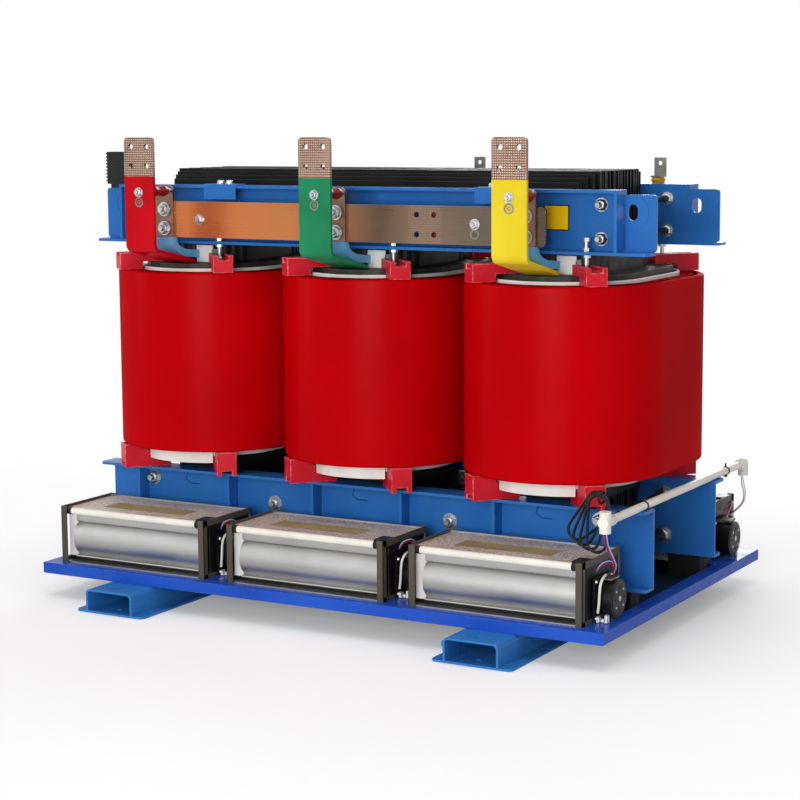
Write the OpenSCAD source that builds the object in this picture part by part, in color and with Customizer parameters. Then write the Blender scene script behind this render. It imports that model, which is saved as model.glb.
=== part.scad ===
// Cast-resin dry-type three-phase power transformer with cross-flow blowers.
// Front (low-voltage side) is -Y, left is -X, +Z is up. Millimetres.

/* [Layout] */
// Distance between neighbouring phases
phase_pitch = 584; // [560:1:700]
// Half length of the straight side of every oval coil and leg
oval_straight = 118; // [100:1:150]

/* [Runners] */
// Length of a runner, front to back
runner_len = 1364; // [1240:1:1700]
// Distance of a runner's middle from the centre plane
runner_x = 577; // [480:1:700]
// Width of a runner's box
runner_w = 160; // [120:1:200]
// Height of a runner
runner_h = 68; // [55:1:90]
// Thickness of a runner's folded plate
runner_wall = 6; // [4:0.5:8]
// Width of a runner's bottom plate, toe to toe
runner_toe_w = 234; // [205:1:290]
// Radius of the four corners of the bottom plate
runner_toe_r = 16; // [8:1:17]
// Radius of the roller bolt's hole
roller_hole_r = 9; // [6:0.5:12]
// Distance of the roller bolt's hole from the runner's end
roller_hole_inset = 45; // [30:1:80]

/* [Tray] */
// How far the tray reaches past the clamps' ends
tray_margin = 8; // [4:1:60]
// Depth of the tray, front to back
tray_depth = 1148; // [1120:1:1350]
// Height of the tray's outer lip
tray_lip = 32; // [26:1:45]
// Thickness of the tray's sheet
tray_sheet = 4; // [3:0.5:6]
// Depth of the shelves that carry the blowers
shelf_depth = 250; // [200:1:262]
// Width of the top leg of the side rails
side_leg = 46; // [30:1:60]

/* [Core] */
// Half width of a leg and half height of a yoke
core_half = 105; // [90:1:112]
// Gap between the coil's end and the yoke's near face
yoke_gap = 83; // [70:1:95]

/* [Coils] */
// Height of the bottom of the high-voltage coils
coil_bottom = 430; // [430:1:500]
// Height of the high-voltage coils
coil_h = 522; // [440:1:640]
// Half width of a high-voltage coil
hv_r = 284; // [252:1:288]
// Radial build of a high-voltage coil
hv_wall = 62; // [50:1:66]
// Outer half width of the barrier cylinder
barrier_r = 212; // [206:1:216]
// Thickness of the barrier cylinder
barrier_wall = 5; // [3:0.5:6]
// Outer half width of a low-voltage coil
lv_r = 198; // [186:1:202]
// Inner half width of a low-voltage coil
lv_bore = 122; // [116:1:140]
// How far the barrier and the low-voltage coil stand out of the high-voltage coil
lv_rise = 22; // [10:1:30]

/* [Pads] */
// Width of a pad
pad_w = 58; // [40:1:70]
// Height of a top pad
pad_top_h = 50; // [40:1:54]
// Height of a bottom pad
pad_bottom_h = 70; // [60:1:84]
// Length of a pad
pad_len = 140; // [120:1:150]
// Angle of a pad from the front-to-back line
pad_angle = 40; // [36:1:46]
// Depth of the notch in a pad
pad_notch = 14; // [8:1:20]
// Width of the notch in a pad
pad_notch_w = 30; // [20:1:36]

/* [Clamps] */
// Length of a clamp past the middle of an outer phase
clamp_overrun = 306; // [300:1:400]
// Thickness of a clamp's plate
clamp_plate = 8; // [6:0.5:12]
// Gap between the coils and the upper clamps
upper_clamp_gap = 78; // [70:1:90]
// Height of an upper clamp
upper_clamp_h = 170; // [150:1:190]
// Depth of the upper clamps' flanges
upper_flange = 58; // [50:1:62]
// Length of the lifting lug past the top flange
lug_len = 88; // [70:1:100]
// How far the lug's top lies under the top flange
lug_drop = 13; // [9:1:20]
// Radius of the ends of the lifting slot
lift_r = 14; // [10:0.5:18]
// Length of the lifting slot
lift_len = 42; // [38:1:60]
// Height of a lower clamp
lower_clamp_h = 220; // [190:1:230]
// Depth of the lower clamps' top flange
lower_flange = 70; // [56:1:80]
// Depth of the lower clamps' bottom flange
lower_foot = 48; // [30:1:52]
// Radius of the tie rods
tie_rod_r = 9; // [6:0.5:12]
// Radius of the jack bolts
jack_bolt_r = 6; // [4:0.5:8]

/* [Low-voltage bars] */
// Width of a phase bar
bar_w = 100; // [80:1:120]
// Thickness of a bar
bar_t = 10; // [8:0.5:12]
// Distance of the phase bars' front face from the centre plane
bar_y = 494; // [470:1:520]
// Height of the phase bars' top above the coils
bar_rise = 388; // [368:1:500]
// Outer radius of the bend
bar_bend_r = 26; // [18:1:34]
// Height of the bend's lowest point above the coils
bar_bend_rise = 62; // [52:1:78]
// How far the bar's foot reaches over the low-voltage coil
foot_reach = 24; // [12:1:40]
// Spacing of the four terminal holes
hole_pitch = 54; // [44:1:60]
// Radius of a terminal hole
hole_r = 8; // [6:0.5:9]
// Distance of the top holes from the end of the bar
hole_inset = 26; // [20:1:34]

/* [Neutral] */
// Height of the neutral bar
neutral_w = 104; // [90:1:120]
// Distance of the neutral bar's front face from the centre plane
neutral_y = 318; // [314:1:324]
// Height of the neutral bar's middle above the coils
neutral_rise = 150; // [146:1:160]
// Place of the neutral terminal from the middle
neutral_pad_x = 252; // [200:1:280]
// Width of a neutral lead
lead_w = 70; // [60:1:80]

/* [Blowers] */
// Length of a blower between the outsides of its posts
blower_len = 508; // [440:1:520]
// Depth of a blower
blower_depth = 240; // [200:1:244]
// Height of a blower
blower_h = 168; // [150:1:180]
// Width of a blower's end post
post_w = 20; // [12:1:26]
// Distance of the blower's front from the tray's edge
blower_inset = 28; // [20:1:32]
// Radius of a blower motor
motor_r = 51; // [40:1:56]
// Length of a blower motor
motor_len = 52; // [40:1:54]

/* [Hidden] */
$fn = 64;

// Cuts run this far past the faces that they open
cut = 1;

// Lengths and heights that everything else takes its place from
tray_len = 2 * (phase_pitch + clamp_overrun + tray_margin);
tray_bottom = runner_h;
tray_top = tray_bottom + tray_lip;
coil_top = coil_bottom + coil_h;
bottom_yoke_top = coil_bottom - yoke_gap;
top_yoke_bottom = coil_top + yoke_gap;
bottom_yoke_mid = bottom_yoke_top - core_half;
top_yoke_mid = top_yoke_bottom + core_half;

// Five packets of laminations, as shares of core_half: how far each reaches past the straight part,
// and its half height
packets = [[0.21, 1], [0.48, 0.92], [0.7, 0.84], [0.88, 0.72], [1, 0.59]];
function packet_y(i) = oval_straight + packets[i][0] * core_half;
function packet_half(i) = packets[i][1] * core_half;
core_back = packet_y(len(packets) - 1);

// Clamps, seated on the core's outermost packet
lower_clamp_top = coil_bottom - pad_bottom_h;
lower_clamp_bottom = lower_clamp_top - lower_clamp_h;
upper_clamp_bottom = coil_top + upper_clamp_gap;
upper_clamp_top = upper_clamp_bottom + upper_clamp_h;
clamp_inner = core_back;
clamp_y = clamp_inner + clamp_plate;
clamp_end = phase_pitch + clamp_overrun;
flange_end = clamp_end - lug_len;
lift_x = flange_end + 21;
lift_z = upper_clamp_top - lug_drop - 46;

// Tie rods beside the outer legs
tie_gap = 48;
tie_x = phase_pitch + core_half + tie_gap;
end_rib_x = tie_x + 26;
upper_tie_offsets = [-70, 20];
upper_tie_z = [for (d = upper_tie_offsets) top_yoke_mid + d];
lower_tie_insets = [55, 45];
lower_tie_z = [lower_clamp_bottom + lower_tie_insets[0], lower_clamp_top - lower_tie_insets[1]];
nut_r = 1.8 * tie_rod_r;
nut_h = 1.6 * tie_rod_r;

// Pads lie along a radius of the coil's round end
pad_overhang = 8;
pad_outer = hv_r + pad_overhang;
pad_inner = pad_outer - pad_len;
jack_reach = 188;
jack_x = jack_reach * sin(pad_angle);
jack_y = oval_straight + jack_reach * cos(pad_angle);
jack_head_h = 9;
jack_head_r = 1.7 * jack_bolt_r;

// Pads under the ends of the lower clamps, clear of the tray's side rails
end_pad_w = 100;
end_pad_clear = 4;
end_pad_x = tray_len / 2 - side_leg - end_pad_w / 2 - end_pad_clear;

// Low-voltage bars
bar_shift = 9;
bar_top = coil_top + bar_rise;
bar_bend_z = coil_top + bar_bend_rise;
neutral_z = coil_top + neutral_rise;
bend_steps = 12;
lv_top = coil_top + lv_rise;
lv_front = oval_straight + lv_r;
lead_shift = -32;
lead_top = coil_top + 248;
lead_t = 8;
lead_front = neutral_y + lead_t;
lead_bend_z = coil_top + 56;
lead_reach = 60;
neutral_t = 10;
neutral_left = -phase_pitch - 60;
neutral_right = phase_pitch + 28;
neutral_support_w = 40;

// Blowers stand on the tray's shelves
blower_shift = -10;
blower_front = tray_depth / 2 - blower_inset;
motor_plate = 6;
motor_plate_side = 116;
motor_z = tray_top + motor_plate_side / 2;
motor_y = blower_front - blower_depth / 2;
motor_body_r = motor_r - 7;
motor_disc_len = 26;
motor_disc_gap = 3;
shell_bulge_r = 190;
shell_inset = 4;
shell_top_drop = 14;
lip_inset = 20;
lip_h = 8;
top_inset = 14;
top_drop = 6;
tube_r = 8;
tube_inset = 22;

// High-voltage terminals on the back upper clamp
hv_x = 84;
hv_bracket_len = 56;
hv_bracket_w = 54;
hv_y = clamp_y + upper_flange + hv_bracket_len / 2;
hv_post_r = 21;
hv_post_core_r = 16;
hv_sheds = 5;
hv_post_top = upper_clamp_top + 16;
hv_flag_w = 36;
hv_flag_t = 5;
hv_flag_h = 56;
hv_hole_r = 6.5;
hv_hole_inset = 16;

// Conduit over the right ends of the lower clamps
pipe_r = 11;
fitting_r = 15;
pipe_inset = 18;
pipe_x = clamp_end - pipe_inset;
pipe_z = lower_clamp_top + pipe_r;
tee_y = -506;
elbow_y = 500;
tee_len = 56;
elbow_len = 36;

// Terminal box on the left end of the front upper clamp
box_inset = 14;
box_len = 70;
box_depth = 44;
box_h = 96;
box_foot = 12;

// Outline of the hank of black cable that hangs beside the tee
hank_half_w = 46;
hank_x = pipe_x - pipe_r - hank_half_w;
hank_clear = 8;
hank_rise = 15;
hank_low = tray_top + blower_h + hank_clear;
hank_high = pipe_z + hank_rise;
hank_thick = 26;
hank_y = tee_y + tee_len;

// An oval: a rectangle with two round ends
module oval(r) {
    square([2 * r, 2 * oval_straight], center = true);
    for (s = [-1, 1]) translate([0, s * oval_straight]) circle(r);
}

// An oval tube from one height to another
module oval_tube(outer, inner, low, high) {
    translate([0, 0, low]) linear_extrude(high - low) difference() {
        oval(outer);
        oval(inner);
    }
}

// A box given by its two corners
module span(low, high) {
    translate(low) cube(high - low);
}

// Runners: a folded channel on a bottom plate with round toes
module toe_plate() {
    half_w = runner_toe_w / 2 - runner_toe_r;
    half_len = runner_len / 2 - runner_toe_r;
    linear_extrude(runner_wall) {
        square([2 * half_w, runner_len], center = true);
        square([runner_toe_w, 2 * half_len], center = true);
        for (x = [-half_w, half_w], y = [-half_len, half_len]) translate([x, y]) circle(runner_toe_r);
    }
}

module runner() {
    inner_w = runner_w - 2 * runner_wall;
    color("steelblue") difference() {
        union() {
            toe_plate();
            translate([-runner_w / 2, -runner_len / 2, 0]) cube([runner_w, runner_len, runner_h]);
        }
        translate([-inner_w / 2, -runner_len / 2 - cut, runner_wall])
            cube([inner_w, runner_len + 2 * cut, runner_h - 2 * runner_wall]);
        for (s = [-1, 1]) translate([0, s * (runner_len / 2 - roller_hole_inset), -cut])
            cylinder(r = roller_hole_r, h = runner_h + 2 * cut);
    }
}

module runner_left() { translate([-runner_x, 0, 0]) runner(); }
module runner_right() { translate([runner_x, 0, 0]) runner(); }

// Tray: lips all round, shelves at the front and back, rails at the sides
module tray_frame() {
    half_x = tray_len / 2;
    half_y = tray_depth / 2;
    color("royalblue") difference() {
        span([-half_x, -half_y, tray_bottom], [half_x, half_y, tray_top]);
        span([-half_x + tray_sheet, -half_y + tray_sheet, tray_bottom - cut],
            [half_x - tray_sheet, half_y - tray_sheet, tray_top - tray_sheet]);
        span([-half_x + side_leg, -half_y + shelf_depth, tray_bottom - cut],
            [half_x - side_leg, half_y - shelf_depth, tray_top + cut]);
    }
}

module tray_floor() {
    half_x = tray_len / 2 - tray_sheet;
    half_y = tray_depth / 2 - tray_sheet;
    color("#22303c") span([-half_x, -half_y, tray_bottom], [half_x, half_y, tray_bottom + tray_sheet]);
}

// Blocks over the runners carry the clamps, and pads stand under the clamps' ends
module support_blocks() {
    low = tray_bottom + tray_sheet;
    depth = clamp_plate + lower_foot;
    color("#17181a") for (sx = [-1, 1], sy = [-1, 1]) {
        span_at(sx * runner_x, sy * (clamp_inner + depth / 2), runner_w, depth, low, lower_clamp_bottom);
        span_at(sx * end_pad_x, sy * (clamp_inner + depth / 2), end_pad_w, depth, low, lower_clamp_bottom);
    }
}

// A box by its middle, width, depth and heights
module span_at(x, y, w, d, low, high) {
    translate([x - w / 2, y - d / 2, low]) cube([w, d, high - low]);
}

// Lower clamps: a web with a flange above and below, and ribs between them
module lower_clamp() {
    low = lower_clamp_bottom;
    high = lower_clamp_top;
    rib_x = [for (s = [-1, 1], x = [0.25 * phase_pitch, 0.75 * phase_pitch, end_rib_x]) s * x];
    difference() {
        union() {
            span([-clamp_end, -clamp_y, low], [clamp_end, -clamp_inner, high]);
            span([-clamp_end, -clamp_y - lower_flange, high - clamp_plate], [clamp_end, -clamp_y, high]);
            span([-clamp_end, -clamp_y - lower_foot, low], [clamp_end, -clamp_y, low + clamp_plate]);
            for (x = rib_x) span([x - clamp_plate / 2, -clamp_y - lower_foot, low + clamp_plate],
                [x + clamp_plate / 2, -clamp_y, high - clamp_plate]);
        }
        for (sx = [-1, 1], z = lower_tie_z) translate([sx * tie_x, -clamp_y - cut, z]) rotate([-90, 0, 0])
            cylinder(r = tie_rod_r, h = clamp_plate + 2 * cut);
    }
}

module lower_clamp_front() { color("#2a66b0") lower_clamp(); }
module lower_clamp_back() { color("#2a66b0") mirror([0, 1, 0]) lower_clamp(); }

// Lifting lugs: the web goes on past the ends of the top flange as a plate with a slot
module lifting_slot() {
    for (s = [-1, 1]) translate([0, 0, s * (lift_len / 2 - lift_r)]) rotate([-90, 0, 0])
        cylinder(r = lift_r, h = clamp_plate + 2 * cut);
    span([-lift_r, 0, -lift_len / 2 + lift_r], [lift_r, clamp_plate + 2 * cut, lift_len / 2 - lift_r]);
}

module lifting_lugs() {
    color("#2a66b0") for (sx = [0, 1], sy = [0, 1]) mirror([sx, 0, 0]) mirror([0, sy, 0]) difference() {
        span([flange_end, -clamp_y, upper_clamp_bottom + clamp_plate],
            [clamp_end, -clamp_inner, upper_clamp_top - lug_drop]);
        translate([lift_x, -clamp_y - cut, lift_z]) lifting_slot();
    }
}

// Upper clamps: a channel whose lower flange goes on under the lifting lugs
module upper_clamp() {
    low = upper_clamp_bottom;
    high = upper_clamp_top;
    difference() {
        union() {
            span([-clamp_end, -clamp_y, low], [clamp_end, -clamp_inner, low + clamp_plate]);
            span([-flange_end, -clamp_y, low], [flange_end, -clamp_inner, high]);
            span([-flange_end, -clamp_y - upper_flange, high - clamp_plate], [flange_end, -clamp_y, high]);
            span([-clamp_end, -clamp_y - upper_flange, low], [clamp_end, -clamp_y, low + clamp_plate]);
            for (s = [-1, 1]) span_at(s * (flange_end - clamp_plate / 2), -clamp_y - upper_flange / 2,
                clamp_plate, upper_flange, low + clamp_plate, high - clamp_plate);
        }
        for (sx = [-1, 1], z = upper_tie_z) translate([sx * tie_x, -clamp_y - cut, z]) rotate([-90, 0, 0])
            cylinder(r = tie_rod_r, h = clamp_plate + 2 * cut);
        for (k = [-1, 0, 1], s = [-1, 1]) translate([k * phase_pitch + s * jack_x, -jack_y, low - cut])
            cylinder(r = jack_bolt_r, h = clamp_plate + 2 * cut);
    }
}

module upper_clamp_front() { color("#2a66b0") upper_clamp(); }
module upper_clamp_back() { color("#2a66b0") mirror([0, 1, 0]) upper_clamp(); }

// Core: yokes and legs stacked from packets of laminations
module yoke(mid) {
    for (i = [0:len(packets) - 1]) {
        half_x = phase_pitch + packet_half(i);
        span([-half_x, -packet_y(i), mid - packet_half(i)], [half_x, packet_y(i), mid + packet_half(i)]);
    }
}

module leg() {
    for (i = [0:len(packets) - 1]) span([-packet_half(i), -packet_y(i), bottom_yoke_mid],
        [packet_half(i), packet_y(i), top_yoke_mid]);
}

module core_top_yoke() { color("#101010") yoke(top_yoke_mid); }
module core_bottom_yoke() { color("#101010") yoke(bottom_yoke_mid); }

module core_legs() {
    color("#101010") for (k = [-1, 0, 1]) difference() {
        translate([k * phase_pitch, 0, 0]) leg();
        yoke(top_yoke_mid);
        yoke(bottom_yoke_mid);
    }
}

// Coils
module hv_coil(k) {
    color("#b80000") translate([k * phase_pitch, 0, 0])
        oval_tube(hv_r, hv_r - hv_wall, coil_bottom, coil_top);
}

module hv_coil_left() { hv_coil(-1); }
module hv_coil_middle() { hv_coil(0); }
module hv_coil_right() { hv_coil(1); }

module barrier_cylinders() {
    color("white") for (k = [-1, 0, 1]) translate([k * phase_pitch, 0, 0])
        oval_tube(barrier_r, barrier_r - barrier_wall, coil_bottom - lv_rise, coil_top + lv_rise);
}

module lv_coil(k) {
    color("#2a0c0c") translate([k * phase_pitch, 0, 0])
        oval_tube(lv_r, lv_bore, coil_bottom - lv_rise, coil_top + lv_rise);
}

module lv_coil_left() { lv_coil(-1); }
module lv_coil_middle() { lv_coil(0); }
module lv_coil_right() { lv_coil(1); }

// Pads: each carries a coil's ends, with steps for the barrier and the low-voltage coil
module pad(height, notch_low) {
    difference() {
        span([-pad_w / 2, -pad_outer, 0], [pad_w / 2, -pad_inner, height]);
        span([-pad_notch_w / 2, -pad_outer - cut, notch_low ? -cut : height - pad_notch],
            [pad_notch_w / 2, -pad_inner + cut, notch_low ? pad_notch : height + cut]);
        span([-pad_w / 2 - cut, -(hv_r - hv_wall + cut), notch_low ? height - lv_rise : -cut],
            [pad_w / 2 + cut, -pad_inner + cut, notch_low ? height + cut : lv_rise]);
    }
}

module pads(z, height, notch_low) {
    color("#d0021b") for (k = [-1, 0, 1], sy = [0, 1], sx = [-1, 1])
        translate([k * phase_pitch, 0, z]) mirror([0, sy, 0]) translate([0, -oval_straight, 0])
            rotate([0, 0, sx * pad_angle]) pad(height, notch_low);
}

module upper_pads() { pads(coil_top, pad_top_h, false); }
module lower_pads() { pads(lower_clamp_top, pad_bottom_h, true); }

// Jack bolts press the top pads down from the clamps' bottom flange
module jack_bolts() {
    low = coil_top + pad_top_h - pad_notch;
    color("silver") for (k = [-1, 0, 1], sx = [-1, 1], sy = [-1, 1])
        translate([k * phase_pitch + sx * jack_x, sy * jack_y, low]) {
            cylinder(r = jack_bolt_r, h = upper_clamp_bottom + clamp_plate + 2 * jack_head_h - low);
            translate([0, 0, upper_clamp_bottom + clamp_plate - low])
                cylinder(r = jack_head_r, h = jack_head_h, $fn = 6);
        }
}

// Tie rods between the front and back clamps, with a nut at each end
module tie_rods(heights) {
    half = clamp_y + nut_h;
    color("#1a1a1c") for (sx = [-1, 1], z = heights) translate([sx * tie_x, 0, z]) rotate([-90, 0, 0]) {
        translate([0, 0, -half]) cylinder(r = tie_rod_r, h = 2 * half);
        for (s = [-1, 1]) translate([0, 0, s * (clamp_y + nut_h / 2)])
            cylinder(r = nut_r, h = nut_h, center = true, $fn = 6);
    }
}

module upper_tie_rods() { tie_rods(upper_tie_z); }
module lower_tie_rods() { tie_rods(lower_tie_z); }

// Points along a part of a circle
function arc(centre, r, from, to) = [for (i = [0:bend_steps])
    let (a = from + (to - from) * i / bend_steps) centre + r * [cos(a), sin(a)]];

// A flat bar bent backwards at its lower end, seen from the side: its front face lies on x = 0,
// and its foot slopes down, tangent to the bend, to a point that lies back and down from the bend's corner
module bent_profile(thick, bend_r, high, back, down) {
    across = back - bend_r;
    below = down + bend_r;
    slope = atan2(below, across) - asin(bend_r / norm([across, below]));
    foot = sqrt(across * across + below * below - bend_r * bend_r);
    turn = 270 - slope;
    centre = [bend_r, bend_r];
    along = [cos(slope), -sin(slope)];
    outward = [-sin(slope), -cos(slope)];
    polygon(concat([[0, high]],
        arc(centre, bend_r, 180, turn),
        [centre + bend_r * outward + foot * along, centre + (bend_r - thick) * outward + foot * along],
        arc(centre, bend_r - thick, turn, 180),
        [[thick, high]]));
}

module bent_bar(width, thick, bend_r, high, back, down) {
    translate([width / 2, 0, 0]) rotate([90, 0, -90]) mirror([1, 0, 0])
        linear_extrude(width) bent_profile(thick, bend_r, high, back, down);
}

// Four terminal holes along Y
module terminal_holes(thick) {
    half = hole_pitch / 2;
    for (x = [-half, half], z = [-half, half]) translate([x, -cut, z]) rotate([-90, 0, 0])
        cylinder(r = hole_r, h = thick + 2 * cut);
}

module phase_bar(k) {
    high = bar_top - bar_bend_z;
    translate([k * phase_pitch + bar_shift, -bar_y, bar_bend_z]) difference() {
        bent_bar(bar_w, bar_t, bar_bend_r, high, bar_y - lv_front + foot_reach, bar_bend_z - lv_top);
        translate([0, 0, high - hole_inset - hole_pitch / 2]) terminal_holes(bar_t);
    }
}

module phase_bar_red() { color("#d8001a") phase_bar(-1); }
module phase_bar_green() { color("#2f8f63") phase_bar(0); }
module phase_bar_yellow() { color("#f2dc3c") phase_bar(1); }

// Neutral: one lead from each coil, bolted to the front of the neutral bar
module neutral_leads() {
    color("#6db3e0") for (k = [-1, 0, 1])
        translate([k * phase_pitch + lead_shift, -lead_front, lead_bend_z])
            bent_bar(lead_w, lead_t, bar_bend_r, lead_top - lead_bend_z,
                lead_front - lv_front + lead_reach, lead_bend_z - lv_top);
}

module neutral_bar() {
    color("#b5651d") difference() {
        span([neutral_left, -neutral_y, neutral_z - neutral_w / 2],
            [neutral_right, -neutral_y + neutral_t, neutral_z + neutral_w / 2]);
        translate([neutral_pad_x, -neutral_y, neutral_z]) terminal_holes(neutral_t);
    }
}

// Blocks between the upper clamp's web and the neutral bar
module neutral_supports() {
    color("#7a2020") for (s = [-1, 1])
        span_at(s * 0.5 * phase_pitch, -(clamp_y + neutral_y - neutral_t) / 2, neutral_support_w,
            neutral_y - neutral_t - clamp_y, neutral_z - neutral_w / 3, neutral_z + neutral_w / 3);
}

// Blowers: a bulged shell between two end posts
module shell_profile() {
    intersection() {
        square([blower_depth, blower_h - shell_top_drop]);
        translate([shell_bulge_r + shell_inset, (blower_h - shell_top_drop) / 2]) circle(shell_bulge_r);
    }
    translate([blower_depth / 2, 0]) square([blower_depth / 2, blower_h - shell_top_drop]);
    translate([lip_inset, 0]) square([blower_depth - lip_inset, lip_h]);
}

module blower() {
    half = blower_len / 2;
    color("#a8a8a4") translate([0, -blower_front, tray_top]) {
        translate([half - post_w, 0, 0]) rotate([90, 0, -90]) mirror([1, 0, 0])
            linear_extrude(blower_len - 2 * post_w) shell_profile();
        for (s = [-1, 1])
            span_at(s * (half - post_w / 2), blower_depth / 2, post_w, blower_depth, 0, blower_h);
        translate([-half + post_w, tube_inset, blower_h - tube_r]) rotate([0, 90, 0])
            cylinder(r = tube_r, h = blower_len - 2 * post_w);
        span([-half + post_w, top_inset, blower_h - shell_top_drop - cut],
            [half - post_w, blower_depth, blower_h - top_drop]);
    }
}

module motor() {
    half = motor_plate_side / 2;
    color("#141414") translate([blower_len / 2, -motor_y, motor_z]) rotate([0, 90, 0]) {
        span([-half, -half, 0], [half, half, motor_plate]);
        cylinder(r = motor_body_r, h = motor_len);
        translate([0, 0, motor_len - motor_disc_gap - motor_disc_len])
            cylinder(r = motor_r, h = motor_disc_len);
    }
}

// A back blower is the front one seen in a mirror
module at_blower(k, back) {
    translate([k * phase_pitch + blower_shift, 0, 0]) mirror([0, back, 0]) children();
}

module blower_front_left() { at_blower(-1, 0) blower(); }
module blower_front_middle() { at_blower(0, 0) blower(); }
module blower_front_right() { at_blower(1, 0) blower(); }
module blower_back_left() { at_blower(-1, 1) blower(); }
module blower_back_middle() { at_blower(0, 1) blower(); }
module blower_back_right() { at_blower(1, 1) blower(); }
module motor_front_left() { at_blower(-1, 0) motor(); }
module motor_front_middle() { at_blower(0, 0) motor(); }
module motor_front_right() { at_blower(1, 0) motor(); }
module motor_back_left() { at_blower(-1, 1) motor(); }
module motor_back_middle() { at_blower(0, 1) motor(); }
module motor_back_right() { at_blower(1, 1) motor(); }

// High-voltage terminals: a bracket on the clamp's flange, a post insulator and a flag
module hv_brackets() {
    color("#2a66b0") for (k = [-1, 0, 1])
        span_at(k * phase_pitch + hv_x, hv_y, hv_bracket_w, hv_bracket_len,
            upper_clamp_bottom, upper_clamp_bottom + clamp_plate);
}

module hv_insulators() {
    low = upper_clamp_bottom + clamp_plate;
    step = (hv_post_top - low) / hv_sheds;
    color("#c98a1a") for (k = [-1, 0, 1]) translate([k * phase_pitch + hv_x, hv_y, low]) {
        cylinder(r = hv_post_core_r, h = hv_post_top - low);
        for (i = [0:hv_sheds - 1]) translate([0, 0, (i + 0.5) * step]) cylinder(r = hv_post_r, h = step / 2);
    }
}

module hv_flags() {
    color("#8c8c88") for (k = [-1, 0, 1])
        translate([k * phase_pitch + hv_x, hv_y, hv_post_top]) difference() {
            union() {
                span_at(0, 0, hv_flag_w, hv_flag_w, 0, hv_flag_t);
                span_at(0, (hv_flag_w - hv_flag_t) / 2, hv_flag_w, hv_flag_t, 0, hv_flag_h);
            }
            translate([0, hv_flag_w / 2 - hv_flag_t - cut, hv_flag_h - hv_hole_inset]) rotate([-90, 0, 0])
                cylinder(r = hv_hole_r, h = hv_flag_t + 2 * cut);
        }
}

// Conduit: a pipe on the clamps' top flanges, with a tee at the front and an elbow at the back
module conduit() {
    color("#f4f0e6") {
        translate([pipe_x, tee_y, pipe_z]) rotate([-90, 0, 0]) cylinder(r = pipe_r, h = elbow_y - tee_y);
        translate([pipe_x, tee_y - fitting_r, pipe_z]) rotate([-90, 0, 0])
            cylinder(r = fitting_r, h = tee_len);
        translate([pipe_x, tee_y, pipe_z - tee_len / 2]) cylinder(r = fitting_r, h = tee_len);
        translate([pipe_x, elbow_y - elbow_len, pipe_z]) rotate([-90, 0, 0])
            cylinder(r = fitting_r, h = elbow_len);
        translate([pipe_x, elbow_y, pipe_z]) sphere(fitting_r);
        translate([pipe_x, elbow_y, pipe_z - elbow_len]) cylinder(r = fitting_r, h = elbow_len);
    }
}

// Terminal box on a foot at the left end of the front upper clamp
module terminal_box() {
    left = -clamp_end + box_inset;
    right = left + box_len;
    low = upper_clamp_top - lug_drop;
    base = low + box_foot;
    color("#141414") {
        span([left, -clamp_y, low], [right, -clamp_inner, base]);
        span([left, -clamp_y - box_depth / 2, base], [right, -clamp_y + box_depth / 2, base + box_h]);
    }
}

// Hank of black cable, tied at the top
module cable_hank() {
    round_z = hank_low + hank_half_w;
    color("#0e0e0e") translate([hank_x, hank_y + hank_thick / 2, 0]) rotate([90, 0, 0])
        linear_extrude(hank_thick) {
            translate([0, round_z]) circle(hank_half_w);
            translate([-hank_half_w, round_z]) square([2 * hank_half_w, hank_high - round_z]);
        }
}

runner_left();
runner_right();
tray_frame();
tray_floor();
support_blocks();
lower_clamp_front();
lower_clamp_back();
upper_clamp_front();
upper_clamp_back();
lifting_lugs();
core_top_yoke();
core_bottom_yoke();
core_legs();
hv_coil_left();
hv_coil_middle();
hv_coil_right();
barrier_cylinders();
lv_coil_left();
lv_coil_middle();
lv_coil_right();
upper_pads();
lower_pads();
phase_bar_red();
phase_bar_green();
phase_bar_yellow();
neutral_leads();
neutral_bar();
neutral_supports();
blower_front_left();
blower_front_middle();
blower_front_right();
blower_back_left();
blower_back_middle();
blower_back_right();
motor_front_left();
motor_front_middle();
motor_front_right();
motor_back_left();
motor_back_middle();
motor_back_right();
upper_tie_rods();
lower_tie_rods();
jack_bolts();
hv_brackets();
hv_insulators();
hv_flags();
conduit();
terminal_box();
cable_hank();
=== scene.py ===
# %% [markdown]
# # A cast-resin dry-type power transformer
# The real machine is a black steel core with three red resin coils, held between blue steel clamps on a
# tray with cooling blowers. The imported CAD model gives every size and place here. This lesson adds the
# finishes, the rounded edges and the small hardware that make the plain solids look like the real thing.

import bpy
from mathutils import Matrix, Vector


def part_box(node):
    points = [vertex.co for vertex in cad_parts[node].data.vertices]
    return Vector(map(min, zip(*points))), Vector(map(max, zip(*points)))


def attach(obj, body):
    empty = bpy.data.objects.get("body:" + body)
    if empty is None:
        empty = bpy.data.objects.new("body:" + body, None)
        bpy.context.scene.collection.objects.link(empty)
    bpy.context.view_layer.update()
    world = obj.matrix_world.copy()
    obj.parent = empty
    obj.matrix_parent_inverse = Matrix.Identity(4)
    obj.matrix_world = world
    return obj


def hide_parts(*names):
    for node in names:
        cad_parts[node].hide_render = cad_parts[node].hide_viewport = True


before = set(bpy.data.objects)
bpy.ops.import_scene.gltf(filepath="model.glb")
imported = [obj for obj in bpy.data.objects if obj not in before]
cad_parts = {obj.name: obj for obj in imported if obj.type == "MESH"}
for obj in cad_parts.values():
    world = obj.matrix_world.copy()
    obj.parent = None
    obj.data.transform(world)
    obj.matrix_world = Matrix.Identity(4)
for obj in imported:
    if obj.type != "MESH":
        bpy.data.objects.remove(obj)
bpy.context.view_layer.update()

import math
import random

import bmesh
import bpy
from mathutils import Matrix, Vector

MM = 0.001
FRONT = Vector((0, -1, 0))
BACK = Vector((0, 1, 0))
UP = Vector((0, 0, 1))
RIGHT = Vector((1, 0, 0))


def corners(node):
    """The lowest and highest corner of a CAD node, in millimetres."""
    return [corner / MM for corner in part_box(node)]


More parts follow.
